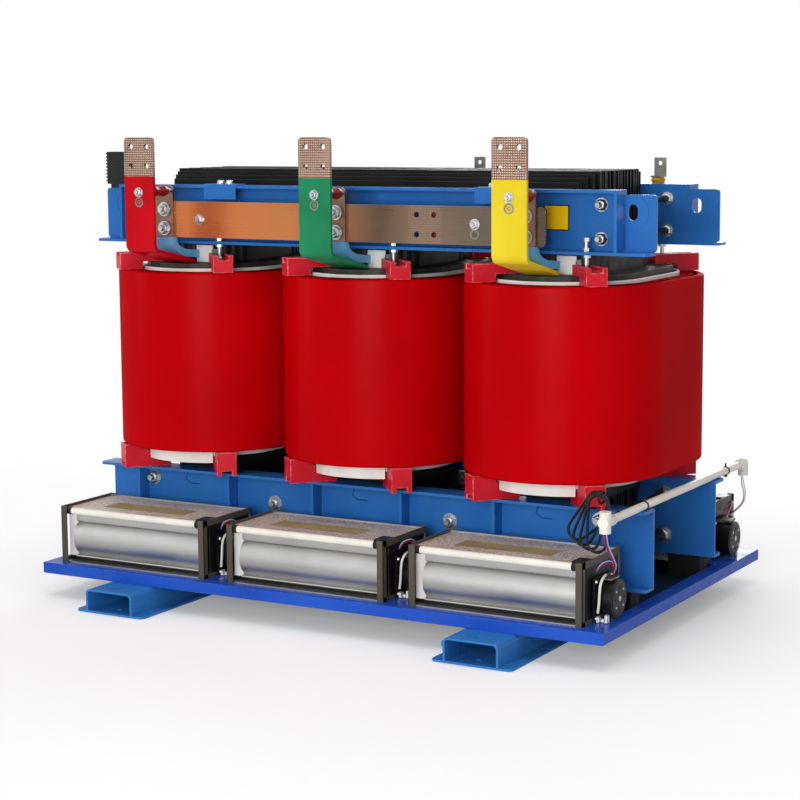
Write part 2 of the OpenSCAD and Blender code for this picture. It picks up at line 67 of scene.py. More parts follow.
phases = ("left", "middle", "right")
coil_low, coil_high = corners("hv_coil_middle")
phase_pitch = corners("hv_coil_right")[1].x - coil_high.x
phase_x = [-phase_pitch, 0, phase_pitch]
coil_r = (coil_high.x - coil_low.x) / 2
straight = (coil_high.y - coil_low.y) / 2 - coil_r
print("phases at", phase_x, "coil radius", coil_r, "half length of the straight sides", straight)

# %% [markdown]
# ## Camera
# The photograph was matched by fitting a camera to edges of the object. The camera stands to the right of
# the low-voltage front, a little above the top yoke, and uses a long lens so that upright lines stay
# nearly upright. A lens shift could hold them exactly upright, but then every other view would carry the
# shift too.

# %% Camera
IMAGE_PIXELS = 800
SENSOR_MM = 36
FOCAL_PIXELS = 2026.8
CAMERA_EYE = Vector((2910, -5145, 1389))
CAMERA_TARGET = Vector((-10.6, 0, 566.2))
CAMERA_ROLL_DEG = -0.39

camera_data = bpy.data.cameras.new("camera")
camera_data.sensor_width = SENSOR_MM
camera_data.lens = FOCAL_PIXELS * SENSOR_MM / IMAGE_PIXELS
camera = bpy.data.objects.new("camera", camera_data)
bpy.context.scene.collection.objects.link(camera)
aim = (CAMERA_TARGET - CAMERA_EYE).to_track_quat("-Z", "Y").to_matrix().to_4x4()
roll = Matrix.Rotation(math.radians(CAMERA_ROLL_DEG), 4, "Z")
camera.matrix_world = Matrix.Translation(CAMERA_EYE * MM) @ aim @ roll
bpy.context.scene.camera = camera
print("lens", round(camera_data.lens, 2), "mm")

# %% [markdown]
# ## Tools for materials
# Colours are written as sRGB hex values, as a paint chart gives them, and one function turns them to the
# linear values that shaders use. One small function adds a node with its settings and links. Every piece
# here is built in the machine's own frame, so Object coordinates are metres on the machine, and a
# pattern's scale is one over its size.

# %% Material tools
MIX_COLOURS = {"data_type": "RGBA"}
# Sockets of a mix of colours: the two that go in and the one that comes out.
FIRST, SECOND, MIXED = 6, 7, 2


def linear(chart):
    """A hex colour of a paint chart as linear RGBA."""
    values = [int(chart[i:i + 2], 16) / 255 for i in (1, 3, 5)]
    return [v / 12.92 if v <= 0.04045 else ((v + 0.055) / 1.055) ** 2.4 for v in values] + [1.0]


def add(tree, kind, settings, inputs, output=0):
    """Adds a shader node and gives one output. An input is a socket to link, a hex colour or a value."""
    node = tree.nodes.new("ShaderNode" + kind)
    for name, value in settings.items():
        setattr(node, name, value)
    for name, value in inputs.items():
        if isinstance(value, bpy.types.NodeSocket):
            tree.links.new(value, node.inputs[name])
        else:
            node.inputs[name].default_value = linear(value) if isinstance(value, str) else value
    return node.outputs[output]


def start(name, constants):
    """A material with one Principled shader, constants on its sockets, and the object's coordinates."""
    material = bpy.data.materials.new(name)
    material.use_nodes = True
    tree = material.node_tree
    shader = tree.nodes["Principled BSDF"]
    for socket, value in constants.items():
        shader.inputs[socket].default_value = value
    return material, tree, shader, add(tree, "TexCoord", {}, {}, "Object")


def connect(tree, shader, links):
    """Links finished patterns to the shader's sockets by name."""
    for socket, value in links.items():
        tree.links.new(value, shader.inputs[socket])


print("material tools ready")

# %% [markdown]
# ## Patches and worn edges
# Two patterns come back in most finishes. Nothing handled in a workshop is even, so a soft noise lets
# tone, gloss and grain wander between two values. Paint and plastic lose their skin on edges first, and
# the rounded edges that are built later carry an attribute named edge, which the noise breaks up into
# chips.

# %% Patches and worn edges
CLOUD_LOW, CLOUD_HIGH = 0.3, 0.7


def uneven(tree, place, size_mm, low, high, stretch=(1, 1, 1), detail=4):
    """A value that wanders from low to high in patches of about size_mm; a small stretch draws them out."""
    turned = add(tree, "Mapping", {}, {"Vector": place, "Scale": stretch})
    cloud = add(tree, "TexNoise", {}, {"Vector": turned, "Scale": 0.5 / (size_mm * MM), "Detail": detail})
    return add(tree, "MapRange", {}, {"Value": cloud, "From Min": CLOUD_LOW, "From Max": CLOUD_HIGH,
                                      "To Min": low, "To Max": high})


def worn_edge(tree, place, size_mm, reach):
    """A mask of chips on the rounded edges; reach is how much of the edge has gone."""
    edge = add(tree, "Attribute", {"attribute_name": "edge"}, {}, "Fac")
    chips = add(tree, "Clamp", {}, {"Value": uneven(tree, place, size_mm, reach - 0.8, reach + 0.2)})
    return add(tree, "Math", {"operation": "MULTIPLY"}, {0: edge, 1: chips})


print("patterns ready")

# %% [markdown]
# ## Paints
# The frame is mild steel with sprayed gloss enamel. Sprayed enamel dries with a fine orange peel of about
# 3 mm, its gloss varies where hands and rags have been, and it chips first on edges, where a paler primer
# shows. A picture of paint would show its pixels close up, so the patches, the peel and the chips are
# worked out from noise.

# %% Enamels
PATCH_MM, CHIP_MM, PEEL_MM, RUBBED_MM = 160, 9, 3.5, 45


def sprayed_enamel(name, deep, bright, chipped, reach=0.45, gloss=0.26):
    """Gloss enamel: two tones of one colour in large soft patches, with chipped edges and orange peel."""
    material, tree, shader, place = start(name, {"Specular IOR Level": 0.16})
    patches = uneven(tree, place, PATCH_MM, 0, 1)
    tone = add(tree, "Mix", MIX_COLOURS, {0: patches, FIRST: deep, SECOND: bright}, MIXED)
    chips = worn_edge(tree, place, CHIP_MM, reach)
    peel = uneven(tree, place, PEEL_MM, 0, 1, detail=2)
    connect(tree, shader, {
        "Base Color": add(tree, "Mix", MIX_COLOURS, {0: chips, FIRST: tone, SECOND: chipped}, MIXED),
        "Roughness": uneven(tree, place, RUBBED_MM, gloss - 0.06, gloss + 0.12),
        "Normal": add(tree, "Bump", {}, {"Strength": 0.35, "Distance": 0.08 * MM, "Height": peel})})
    return material


# Mid-blue gloss on the clamps: soft reflections and pale lines along the plate edges.
clamp_enamel = sprayed_enamel("clamp_blue_enamel", "#2666B0", "#2F74C2", "#6A9CD2")
# The runners wear the same paint, a little greener and more scuffed.
runner_enamel = sprayed_enamel("runner_blue_enamel", "#2B70B6", "#3682C8", "#7FB0DA", 0.5)
# Royal blue on the tray: deeper and more violet than the clamps.
tray_enamel = sprayed_enamel("tray_royal_blue_enamel", "#1A4AB2", "#2658C4", "#5582D8")
# Dark navy on the tray floor, far darker than the tray's blue, with hardly any reflection.
floor_enamel = sprayed_enamel("tray_floor_dull_enamel", "#16263A", "#22405E", "#3A5068", gloss=0.5)
# Flat warm yellow on the blank plate.
plate_enamel = sprayed_enamel("blank_yellow_plate_enamel", "#FAC400", "#FFD21A", "#F6D56A", gloss=0.35)
# Grey-brown semi-gloss on the blower posts, which frames the bright sheet.
post_enamel = sprayed_enamel("blower_post_grey_brown_enamel", "#494339", "#5A544B", "#9A948A", gloss=0.38)
print("enamels made")

# %% [markdown]
# ## Cast resin
# The coils are wound and then cast in pigmented epoxy under vacuum. The cast skin is smooth and glossy
# with slow waves of a hand's width, so broad soft reflections bend on it. The gloss is a thin coat with a
# small weight: it keeps the highlight of a clear skin, and the colour stays deep where the coil turns
# away.

# %% Cast resins
TONE_MM, WAVE_MM, SHINE_MM = 210, 130, 60


def cast_epoxy(name, deep, bright, gloss):
    """Cast epoxy: two close tones under a glossy skin with slow waves."""
    material, tree, shader, place = start(name, {"Specular IOR Level": 0.0, "Coat Weight": 0.06,
                                                 "Coat Roughness": gloss})
    tone = uneven(tree, place, TONE_MM, 0, 1)
    waves = uneven(tree, place, WAVE_MM, 0, 1, stretch=(1, 1, 0.4), detail=1)
    skin = add(tree, "Bump", {}, {"Strength": 0.25, "Distance": 1.2 * MM, "Height": waves})
    connect(tree, shader, {
        "Base Color": add(tree, "Mix", MIX_COLOURS, {0: tone, FIRST: deep, SECOND: bright}, MIXED),
        "Roughness": uneven(tree, place, SHINE_MM, gloss, gloss + 0.1),
        "Normal": skin, "Coat Normal": skin})
    return material


# Deep signal red: the largest and most even surface of the machine.
coil_epoxy = cast_epoxy("coil_red_cast_epoxy", "#AE0005", "#C40009", 0.28)
# Painted shade: the coil's resin made nearly black on the duct walls, where hardly any light comes back.
duct_shade_epoxy = cast_epoxy("duct_painted_shade_epoxy", "#1E0204", "#3A0406", 0.4)
# Honey-coloured resin of the post insulators, with a soft shine.
amber_epoxy = cast_epoxy("post_amber_cast_epoxy", "#D9980F", "#EDB520", 0.2)
print("cast resins made")

# %% [markdown]
# ## Moulded plastics and rubber
# Pads, connectors, sleeves and wires are pressed, moulded or drawn. Their skin copies the tool: a fine
# grain, a duller shine than resin, and edges that wear to a paler tone. One function serves them all,
# since they differ only in colour, roughness and wear.

# %% Moulded plastics
FLOW_MM, WEAR_MM, HANDLED_MM = 35, 7, 20


def moulded(name, deep, bright, chipped, rough, reach=0.55, grain_mm=1.6):
    """A moulded plastic or compound: fine grain and pale worn edges."""
    material, tree, shader, place = start(name, {"Specular IOR Level": 0.25})
    flow = uneven(tree, place, FLOW_MM, 0, 1)
    tone = add(tree, "Mix", MIX_COLOURS, {0: flow, FIRST: deep, SECOND: bright}, MIXED)
    chips = worn_edge(tree, place, WEAR_MM, reach)
    grain = uneven(tree, place, grain_mm, 0, 1, detail=2)
    connect(tree, shader, {
        "Base Color": add(tree, "Mix", MIX_COLOURS, {0: chips, FIRST: tone, SECOND: chipped}, MIXED),
        "Roughness": uneven(tree, place, HANDLED_MM, rough - 0.06, rough + 0.1),
        "Normal": add(tree, "Bump", {}, {"Strength": 0.4, "Distance": 0.12 * MM, "Height": grain})})
    return material


# Pressed red compound of the pads: duller than the coils, chipped to pale pink.
pad_compound = moulded("pad_red_moulding_compound", "#C20A20", "#D6182E", "#EE9A98", 0.4, 0.6)
# Nearly black compound round the inner winding: a soft sheen on its ribs.
winding_compound = moulded("winding_dark_compound", "#242220", "#383532", "#46423E", 0.46)
# Milky white sheet of the barriers, a pale ring against the red.
barrier_sheet = moulded("barrier_white_sheet", "#DEDDD8", "#F2F1EC", "#FFFFFF", 0.45, 0.2)
# Extruded white conduit, slightly warm.
rigid_pvc = moulded("conduit_white_rigid_pvc", "#E2DFD4", "#F1EEE4", "#F8F6F0", 0.34, 0.1)
# White moulded nylon of connectors and spacers, cooler than the conduit.
white_nylon = moulded("connector_white_nylon", "#E6E5E0", "#F6F5F0", "#FFFFFF", 0.4, 0.1)
# Black moulded nylon: fittings, ties and motor bodies, with a satin shine.
black_nylon = moulded("fitting_black_nylon", "#0B0B0C", "#181819", "#2A2A2B", 0.36, 0.3)
# Sky-blue sleeve shrunk on the leads: smooth, with a soft highlight on its bend.
shrink_sleeve = moulded("lead_light_blue_shrink_sleeve", "#5CAAE2", "#78C0F0", "#96D0F4", 0.36, 0.2)
# Pressed rubber of the blocks: matt black.
black_rubber = moulded("block_black_rubber", "#0C0C0D", "#1A1A1B", "#2A2A2A", 0.7, 0.3)
# Red-brown compound of the bobbins, shinier than the pads.
bobbin_compound = moulded("bobbin_red_brown_compound", "#7A1414", "#961C1A", "#B85A50", 0.3, 0.3)
# Tan fibre under the blower tops, matt and coarse.
blower_backing = moulded("blower_tan_fibre_backing", "#8A7A50", "#A8966A", "#A8966A", 0.7, 0.0, 5)
# Drawn wire covering: small glossy lines of plain colour.
wire_pvc = {name: moulded(f"wire_{name}_pvc", deep, bright, bright, 0.36, 0.0) for name, deep, bright in (
    ("black", "#050607", "#0E0F11"), ("red", "#A0141C", "#C8202A"), ("blue", "#7C9CC8", "#A0BCE0"),
    ("purple", "#6A2470", "#8C3A94"), ("white", "#DAD8D0", "#F4F2EA"))}
print("moulded plastics made")

# %% [markdown]
# ## Metals
# Aluminium blower sheet is brushed along its length, the bolts are zinc plated and the flags are tinned.
# A metal's colour is its reflection, so roughness carries most of the look. Brush lines are a noise drawn
# out along X.

# %% Metals
ALONG_X = (0.015, 1, 1)
# Real brush lines are far finer than a pixel, so they are drawn at 1.4 mm.
BRUSH_MM = 1.4


def metal(name, deep, bright, rough, spread, patch_mm=40, brushed=None):
    """A bare metal in two tones; brushed gives the stretch of its brush lines."""
    material, tree, shader, place = start(name, {"Metallic": 1.0})
    tone = uneven(tree, place, patch_mm, 0, 1)
    polish = uneven(tree, place, patch_mm * 0.6, rough, rough + spread)
    if brushed:
        lines = uneven(tree, place, BRUSH_MM, 0, 1, stretch=brushed, detail=2)
        polish = add(tree, "Math", {"operation": "MULTIPLY_ADD"}, {0: lines, 1: 0.12, 2: polish})
        grooves = add(tree, "Bump", {}, {"Strength": 0.3, "Distance": 0.04 * MM, "Height": lines})
        connect(tree, shader, {"Normal": grooves})
    connect(tree, shader, {
        "Base Color": add(tree, "Mix", MIX_COLOURS, {0: tone, FIRST: deep, SECOND: bright}, MIXED),
        "Roughness": polish})
    return material


# Brushed sheet: reflections smear into soft bands along the blower.
brushed_aluminium = metal("blower_brushed_aluminium", "#AAAAA8", "#BCBCBA", 0.34, 0.08, 90, ALONG_X)
# Zinc plate: bright, cool and slightly frosted.
plated_zinc = metal("bolt_zinc_plate", "#A8ABAE", "#D0D2D4", 0.32, 0.14, 12)
# Tinned strip: a dull grey that has lost its shine.
tinned_strip = metal("flag_tinned_strip", "#6C6D66", "#8C8B82", 0.36, 0.2, 18)
print("metals made")

# %% [markdown]
# ## Painted bars
# Each low-voltage bar is copper with paint up to a masked line, and bare above it. Two materials on two
# halves would need a cut in the mesh, so one shader serves both: a mask from the height switches colour,
# metallic and roughness together. The bare pads are pressed with a grid of points so that they bite when
# bolted.

# %% Painted bars
bar_low, bar_high = corners("phase_bar_green")
SLEEVE_LINE = 1046
# The real points are about 2 mm apart and too fine to show, so they are drawn at 6.5 mm.
KNURL_MM = 6.5
WORN_COPPER = "#C4B6A6"
POINT_COPPER = "#BFA593"
BARE_BELOW_TOP = 109
RAGGED_LINE = 0.6
paint_line = bar_high.z - BARE_BELOW_TOP


def knurl(tree, place):
    """Pressed points in a square grid on a face across Y: one on each point and zero between them."""
    turns = add(tree, "VectorMath", {"operation": "SCALE"}, {0: place, "Scale": math.tau / (KNURL_MM * MM)})
    waves = [add(tree, "Math", {"operation": "SINE"}, {0: add(tree, "SeparateXYZ", {}, {0: turns}, axis)})
             for axis in ("X", "Z")]
    lowest = add(tree, "Math", {"operation": "MINIMUM"}, {0: waves[0], 1: waves[1]})
    return add(tree, "MapRange", {}, {"Value": lowest, "From Min": -0.3, "From Max": 0.5})


def painted_bar(name, deep, bright, line_mm, knurled):
    """Enamel below a masked line, bare tarnished copper above it."""
    constants = {"Specular IOR Level": 0.0, "Coat Weight": 0.2, "Coat Roughness": 0.2}
    material, tree, shader, place = start(name, constants)
    height = add(tree, "SeparateXYZ", {}, {0: place}, "Z")
    ragged_line = uneven(tree, place, 14, (line_mm - RAGGED_LINE) * MM, (line_mm + RAGGED_LINE) * MM)
    bare = add(tree, "Math", {"operation": "GREATER_THAN"}, {0: height, 1: ragged_line})
    rubbed = add(tree, "Math", {"operation": "MULTIPLY"}, {0: worn_edge(tree, place, 8, 0.35), 1: 0.5})
    coats = uneven(tree, place, 60, 0, 1)
    paint = add(tree, "Mix", MIX_COLOURS, {0: coats, FIRST: deep, SECOND: bright}, MIXED)
    tarnish = uneven(tree, place, 26, 0, 1)
    copper = add(tree, "Mix", MIX_COLOURS, {0: tarnish, FIRST: "#6A5143", SECOND: "#8A6C5C"}, MIXED)
    if knurled:
        points = add(tree, "Math", {"operation": "MULTIPLY"}, {0: knurl(tree, place), 1: bare})
        copper = add(tree, "Mix", MIX_COLOURS, {0: points, FIRST: copper, SECOND: POINT_COPPER}, MIXED)
        pressed = add(tree, "Bump", {}, {"Strength": 0.6, "Distance": 0.5 * MM, "Height": points})
        connect(tree, shader, {"Normal": pressed})
    edge = add(tree, "Attribute", {"attribute_name": "edge"}, {}, "Fac")
    copper = add(tree, "Mix", MIX_COLOURS, {0: edge, FIRST: copper, SECOND: WORN_COPPER}, MIXED)
    bare = add(tree, "Math", {"operation": "MAXIMUM"}, {0: bare, 1: rubbed})
    polish = uneven(tree, place, 30, 0.24, 0.36)
    connect(tree, shader, {
        "Base Color": add(tree, "Mix", MIX_COLOURS, {0: bare, FIRST: paint, SECOND: copper}, MIXED),
        "Metallic": bare,
        "Roughness": add(tree, "Math", {"operation": "MULTIPLY_ADD"}, {0: bare, 1: 0.06, 2: polish})})
    return material


# Phase colours: even, clean paint with a crisp upper edge, and pinkish brown copper above.
bar_finish = {
    "red": painted_bar("bar_red_enamel_on_copper", "#B8000F", "#D00418", paint_line, True),
    "green": painted_bar("bar_green_enamel_on_copper", "#1E7A50", "#2B8F62", paint_line, True),
    "yellow": painted_bar("bar_yellow_enamel_on_copper", "#E2C41C", "#EED636", paint_line, True),
}
# The neutral leads are bare above and sleeved in sky blue below.
lead_finish = painted_bar("lead_light_blue_sleeve_on_copper", "#58A6DE", "#74BCEE", SLEEVE_LINE, False)
print("bars painted up to", paint_line, "mm")

# %% [markdown]
# ## Polished neutral bar
# The neutral bar is rolled copper, polished and then tarnished by handling: orange at its left end and
# grey brown at its right. A colour ramp along X gives the tarnish, and noise shifts it into clouds. It is
# smooth enough to show blurred reflections of the painted bars in front of it.

# %% Neutral bar
TARNISH = ((0.0, "#CE7642"), (0.3, "#C27644"), (0.5, "#AE6E44"), (0.72, "#846854"), (1.0, "#66594F"))
TARNISH_X = (-640, 470)
CLOUD_SHIFT = 165
KNURLED_X = (202, 300)


def polished_bar(name):
    """Rolled copper with a tarnish that changes along it, fine scratches and a knurled patch."""
    material, tree, shader, place = start(name, {"Metallic": 0.65})
    along = add(tree, "SeparateXYZ", {}, {0: place}, "X")
    cloud = uneven(tree, place, 120, -CLOUD_SHIFT * MM, CLOUD_SHIFT * MM, detail=6)
    shifted = add(tree, "Math", {"operation": "ADD"}, {0: along, 1: cloud})
    share = add(tree, "MapRange", {}, {"Value": shifted, "From Min": TARNISH_X[0] * MM,
                                       "From Max": TARNISH_X[1] * MM})
    tarnish = add(tree, "ValToRGB", {}, {0: share})
    ramp = tarnish.node.color_ramp
    ramp.elements[0].color, ramp.elements[1].color = linear(TARNISH[0][1]), linear(TARNISH[-1][1])
    for at, tone in TARNISH[1:-1]:
        ramp.elements.new(at).color = linear(tone)
    inside = [add(tree, "Math", {"operation": kind}, {0: along, 1: x * MM})
              for kind, x in zip(("GREATER_THAN", "LESS_THAN"), KNURLED_X)]
    patch = add(tree, "Math", {"operation": "MULTIPLY"}, {0: inside[0], 1: inside[1]})
    points = add(tree, "Math", {"operation": "MULTIPLY"}, {0: patch, 1: knurl(tree, place)})
    rubbed = add(tree, "Math", {"operation": "MULTIPLY"}, {0: points, 1: 0.4})
    copper = add(tree, "Mix", MIX_COLOURS, {0: rubbed, FIRST: tarnish, SECOND: POINT_COPPER}, MIXED)
    edge = add(tree, "Attribute", {"attribute_name": "edge"}, {}, "Fac")
    scratches = uneven(tree, place, 2.2, 0, 0.07, stretch=(0.02, 1, 1), detail=2)
    polish = uneven(tree, place, 60, 0.22, 0.34)
    connect(tree, shader, {
        "Base Color": add(tree, "Mix", MIX_COLOURS, {0: edge, FIRST: copper, SECOND: WORN_COPPER}, MIXED),
        "Roughness": add(tree, "Math", {"operation": "ADD"}, {0: polish, 1: scratches}),
        "Normal": add(tree, "Bump", {}, {"Strength": 0.35, "Distance": 0.5 * MM, "Height": points})})
    return material


# Warm copper with blurred reflections, duller towards the right.
rolled_copper = polished_bar("neutral_rolled_copper")
print("tarnish runs over", TARNISH_X[1] - TARNISH_X[0], "mm")

# %% [markdown]
# ## Laminations and perforated sheet
# The core is stacked from thin silicon steel sheets and painted with black varnish. Its sheets lie across
# Y, so fine lines run along the yoke. The blowers' tops are perforated sheet with fibre behind the holes.
# Cutting thousands of sheets or holes would cost triangles and show no more, so both are patterns in the
# finish.

# %% Laminations and perforated sheet
# A sheet is 0.3 mm thick and far thinner than a pixel, so its lines are drawn at 5 mm.
SHEET_LINE_MM = 5.0
# The real holes are about 4 mm apart, and are drawn at 9 mm so that they show.
HOLE_MM = 9.0
HOLE_SHARE = 0.33


def varnished_laminations(name):
    """Black varnish over sheet edges: fine ridges that catch the light in lines."""
    material, tree, shader, place = start(name, {"Specular IOR Level": 0.2})
    across = add(tree, "SeparateXYZ", {}, {0: place}, "Y")
    turns = add(tree, "Math", {"operation": "MULTIPLY"}, {0: across, 1: math.tau / (SHEET_LINE_MM * MM)})
    line = add(tree, "Math", {"operation": "SINE"}, {0: turns})
    streaks = uneven(tree, place, 22, 0, 1, stretch=(0.1, 1, 1))
    connect(tree, shader, {
        "Base Color": add(tree, "Mix", MIX_COLOURS, {0: streaks, FIRST: "#020202", SECOND: "#0A0A0B"}, MIXED),
        "Roughness": uneven(tree, place, 30, 0.28, 0.45),
        "Normal": add(tree, "Bump", {}, {"Strength": 0.6, "Distance": 0.5 * MM, "Height": line})})
    return material


def perforated_sheet(name, deep, bright, tan):
    """Perforated steel over fibre: a mottled grey with tan clouds, and small holes darkened by painted shade.
    """
    material, tree, shader, place = start(name, {})
    patch = add(tree, "Clamp", {}, {"Value": uneven(tree, place, 55, -0.5, 1.1, detail=3)})
    backing = add(tree, "Mix", MIX_COLOURS, {0: patch, FIRST: deep, SECOND: tan}, MIXED)
    speck = add(tree, "Clamp", {}, {"Value": uneven(tree, place, 5, -0.2, 1.2, detail=5)})
    mottled = add(tree, "Mix", MIX_COLOURS, {0: speck, FIRST: backing, SECOND: bright}, MIXED)
    cells = add(tree, "TexVoronoi", {"feature": "F1"},
                {"Vector": place, "Scale": 1 / (HOLE_MM * MM), "Randomness": 0.25}, "Distance")
    hole = add(tree, "Math", {"operation": "LESS_THAN"}, {0: cells, 1: HOLE_SHARE})
    # Painted shade: the holes are mixed towards a dark brown.
    shade = add(tree, "Math", {"operation": "MULTIPLY"}, {0: hole, 1: 0.85})
    connect(tree, shader, {
        "Base Color": add(tree, "Mix", MIX_COLOURS, {0: shade, FIRST: mottled, SECOND: "#40382F"}, MIXED),
        "Roughness": uneven(tree, place, 12, 0.35, 0.6), "Metallic": uneven(tree, place, 40, 0.0, 0.25),
        "Normal": add(tree, "Bump", {}, {"Strength": 0.7, "Distance": -0.6 * MM, "Height": hole})})
    return material


# Black with a satin glint along the sheet edges.
core_varnish = varnished_laminations("core_black_varnished_laminations")
# Grey mesh that looks brown from afar, because the fibre shows through.
blower_top = perforated_sheet("blower_top_perforated_sheet", "#B0A496", "#E4DED4", "#CCB992")
print("laminations and perforated sheet made")

# %% [markdown]
# ## Tools for meshes
# Every small thing is built into a mesh with bmesh, in millimetres of the machine's own frame. Real sheet
# and bar has no perfectly sharp edge, so one function rounds the sharp edges, marks the rounded faces
# with the attribute edge for the chipped paint, and makes the object ride on the machine. A bevel
# modifier would round the edges too, but it couldn't mark them.

# %% Finished pieces
ROUND_FROM_DEG = 30
SHORTEST_ROUNDED_MM = 7
piece_count = 0


def piece(name, bm, materials, round_mm=0.0, stands_for=(), smooth_deg=38):
    """Rounds the long sharp edges of a mesh, smooths it, and makes it a piece of the machine."""
    global piece_count
    edge = bm.faces.layers.float.new("edge")
    if round_mm:
        sharp = [e for e in bm.edges if len(e.link_faces) == 2 and e.calc_length() > SHORTEST_ROUNDED_MM * MM
                 and e.calc_face_angle(0) > math.radians(ROUND_FROM_DEG)]
        made = bmesh.ops.bevel(bm, geom=sharp, offset=round_mm * MM, segments=2, profile=0.5, affect="EDGES",
                               clamp_overlap=True)
        for face in made["faces"]:
            face[edge] = 1.0
    bmesh.ops.recalc_face_normals(bm, faces=bm.faces)
    mesh = bpy.data.meshes.new(name)
    bm.to_mesh(mesh)
    bm.free()
    for material in materials:
        mesh.materials.append(material)
    mesh.shade_smooth()
    mesh.set_sharp_from_angle(angle=math.radians(smooth_deg))
    obj = bpy.data.objects.new(name, mesh)
    bpy.context.scene.collection.objects.link(obj)
    flat = obj.modifiers.new("even_shading", "WEIGHTED_NORMAL")
    flat.keep_sharp = True
    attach(obj, "root")
    if stands_for:
        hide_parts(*stands_for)
    piece_count += 1
    return obj


# %% [markdown]
# ## Small solids
# Bolts, nuts, plates and rings are boxes, rods and rings put together. Each helper adds one of them to a
# mesh, with the number of its material, so that many bolts make one piece.

# %% Small solids


def paint(bm, made, material_index):
    """Gives the faces of new points their material."""
    for face in {f for v in made["verts"] for f in v.link_faces}:
        face.material_index = material_index


def add_box(bm, low, high, material_index=0):
    """A box by its two corners."""
    low, high = Vector(low), Vector(high)
    size = Matrix.Diagonal((high - low) * MM).to_4x4()
    made = bmesh.ops.create_cube(bm, size=1, matrix=Matrix.Translation((low + high) / 2 * MM) @ size)
    paint(bm, made, material_index)


def add_rod(bm, foot, tip, r, sides=24, tip_r=None, material_index=0):
    """A round or many-sided bar from foot to tip."""
    foot, tip = Vector(foot), Vector(tip)
    turn = (tip - foot).to_track_quat("Z", "Y").to_matrix().to_4x4()
    made = bmesh.ops.create_cone(bm, cap_ends=True, segments=sides, radius1=r * MM,
                                 radius2=(r if tip_r is None else tip_r) * MM, depth=(tip - foot).length * MM,
                                 matrix=Matrix.Translation((foot + tip) / 2 * MM) @ turn)
    paint(bm, made, material_index)


def add_bolt(bm, at, out, thread, stud=0.0):
    """A hexagon head or nut on a washer, seated on the face at a point; thread is its diameter."""
    at, out = Vector(at), Vector(out)
    washer, head = 0.2 * thread, 0.75 * thread
    crown, top = at + out * (washer + 0.75 * head), at + out * (washer + head)
    add_rod(bm, at, at + out * washer, 1.15 * thread, 28)
    add_rod(bm, at + out * washer, crown, 0.95 * thread, 6)
    add_rod(bm, crown, top, 0.95 * thread, 6, 0.72 * thread)
    if stud:
        add_rod(bm, top, top + out * stud, 0.5 * thread, 18, 0.4 * thread)


def add_ring(bm, at, out, r_in, r_out, height, sides=36):
    """A flat ring that stands on a face."""
    turn = Vector(out).to_track_quat("Z", "Y").to_matrix()
    angles = [math.tau * i / sides for i in range(sides)]
    section = ((r_in, 0), (r_out, 0), (r_out, height), (r_in, height))
    rings = [[bm.verts.new((Vector(at) + turn @ Vector((r * math.cos(a), r * math.sin(a), h))) * MM)
              for a in angles] for r, h in section]
    for first, second in zip(rings, rings[1:] + rings[:1]):
        for i in range(sides):
            bm.faces.new((first[i], first[(i + 1) % sides], second[(i + 1) % sides], second[i]))


print("small solids ready")

# %% [markdown]
# ## Cables
# A cord is a curve of one open spline with a round bevel, which keeps its thickness through every bend. A
# route is a short list of places, as an electrician would tie the cable, and cutting its corners twice
# makes it smooth.

# %% Cords


def eased(points, passes=2):
    """Cuts the corners of a route: each stretch gives its points at its quarters, and the ends stay."""
    for _ in range(passes):
        inner = [a.lerp(b, share) for a, b in zip(points, points[1:]) for share in (0.25, 0.75)]
        points = [points[0]] + inner + [points[-1]]
    return points


def cord(name, points, d, material, stands_for=()):
    """A free cord along points."""
    curve = bpy.data.curves.new(name, "CURVE")
    curve.dimensions = "3D"
    curve.bevel_depth = d / 2 * MM
    curve.bevel_resolution = 4
    curve.resolution_u = 3
    curve.use_fill_caps = True
    spline = curve.splines.new("NURBS")
    spline.points.add(len(points) - 1)
    for point, place in zip(spline.points, points):
        point.co = (*(place * MM), 1)
    spline.order_u = 4
    spline.use_endpoint_u = True
    curve.materials.append(material)
    obj = bpy.data.objects.new(name, curve)
    bpy.context.scene.collection.objects.link(obj)
    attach(obj, "root")
    if stands_for:
        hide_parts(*stands_for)
    bpy.context.view_layer.update()


pipe_low, pipe_high = corners("conduit")
pipe_x = (pipe_low.x + pipe_high.x) / 2
print("conduit at x", pipe_x)

# %% [markdown]
# ## Hank of control cable
# A hank of black control cable hangs from a tie beside the conduit's tee. Its turns are worked out by a
# loop: each is a long loop with round ends, one behind the other, and each leans by its own angle, so the
# hank fans out. The cable comes from the back of the tee, and its last turn goes up into the conduit.

# %% Hank
CABLE_D = 7.5
FOLD_R = 27
TURN_LONG = 152
TURN_STEP = 8
STRAIGHTS = (0.35, 0.6)
TIE_AT = Vector((832, -458, 430))
LEANS_DEG = (3, 14, 25, 35)
LEAD_IN = ((24, -4, -12), (14, -2, -4))
# The last turn leaves out this many of its points, and goes into the conduit's side instead.
LAST_RISE = 5
tee_back = Vector((pipe_x - 4, -470, 396))
conduit_side = Vector((872, -416, 385))


def hank_turn(long, r):
    """One loop that hangs from its top, as (side, down) points: over the top, down, round the foot and up."""
    top = [math.radians(90 + 30 * i) for i in range(4)]
    foot = [math.radians(180 + 30 * i) for i in range(7)]
    loop = [(r * math.cos(a), r * (math.sin(a) - 1)) for a in top]
    loop += [(-r, -share * long) for share in STRAIGHTS]
    loop += [(r * math.cos(a), r * (math.sin(a) + 1) - long) for a in foot]
    loop += [(r, -share * long) for share in reversed(STRAIGHTS)]
    return loop + [(-x, z) for x, z in reversed(loop[1:4])]


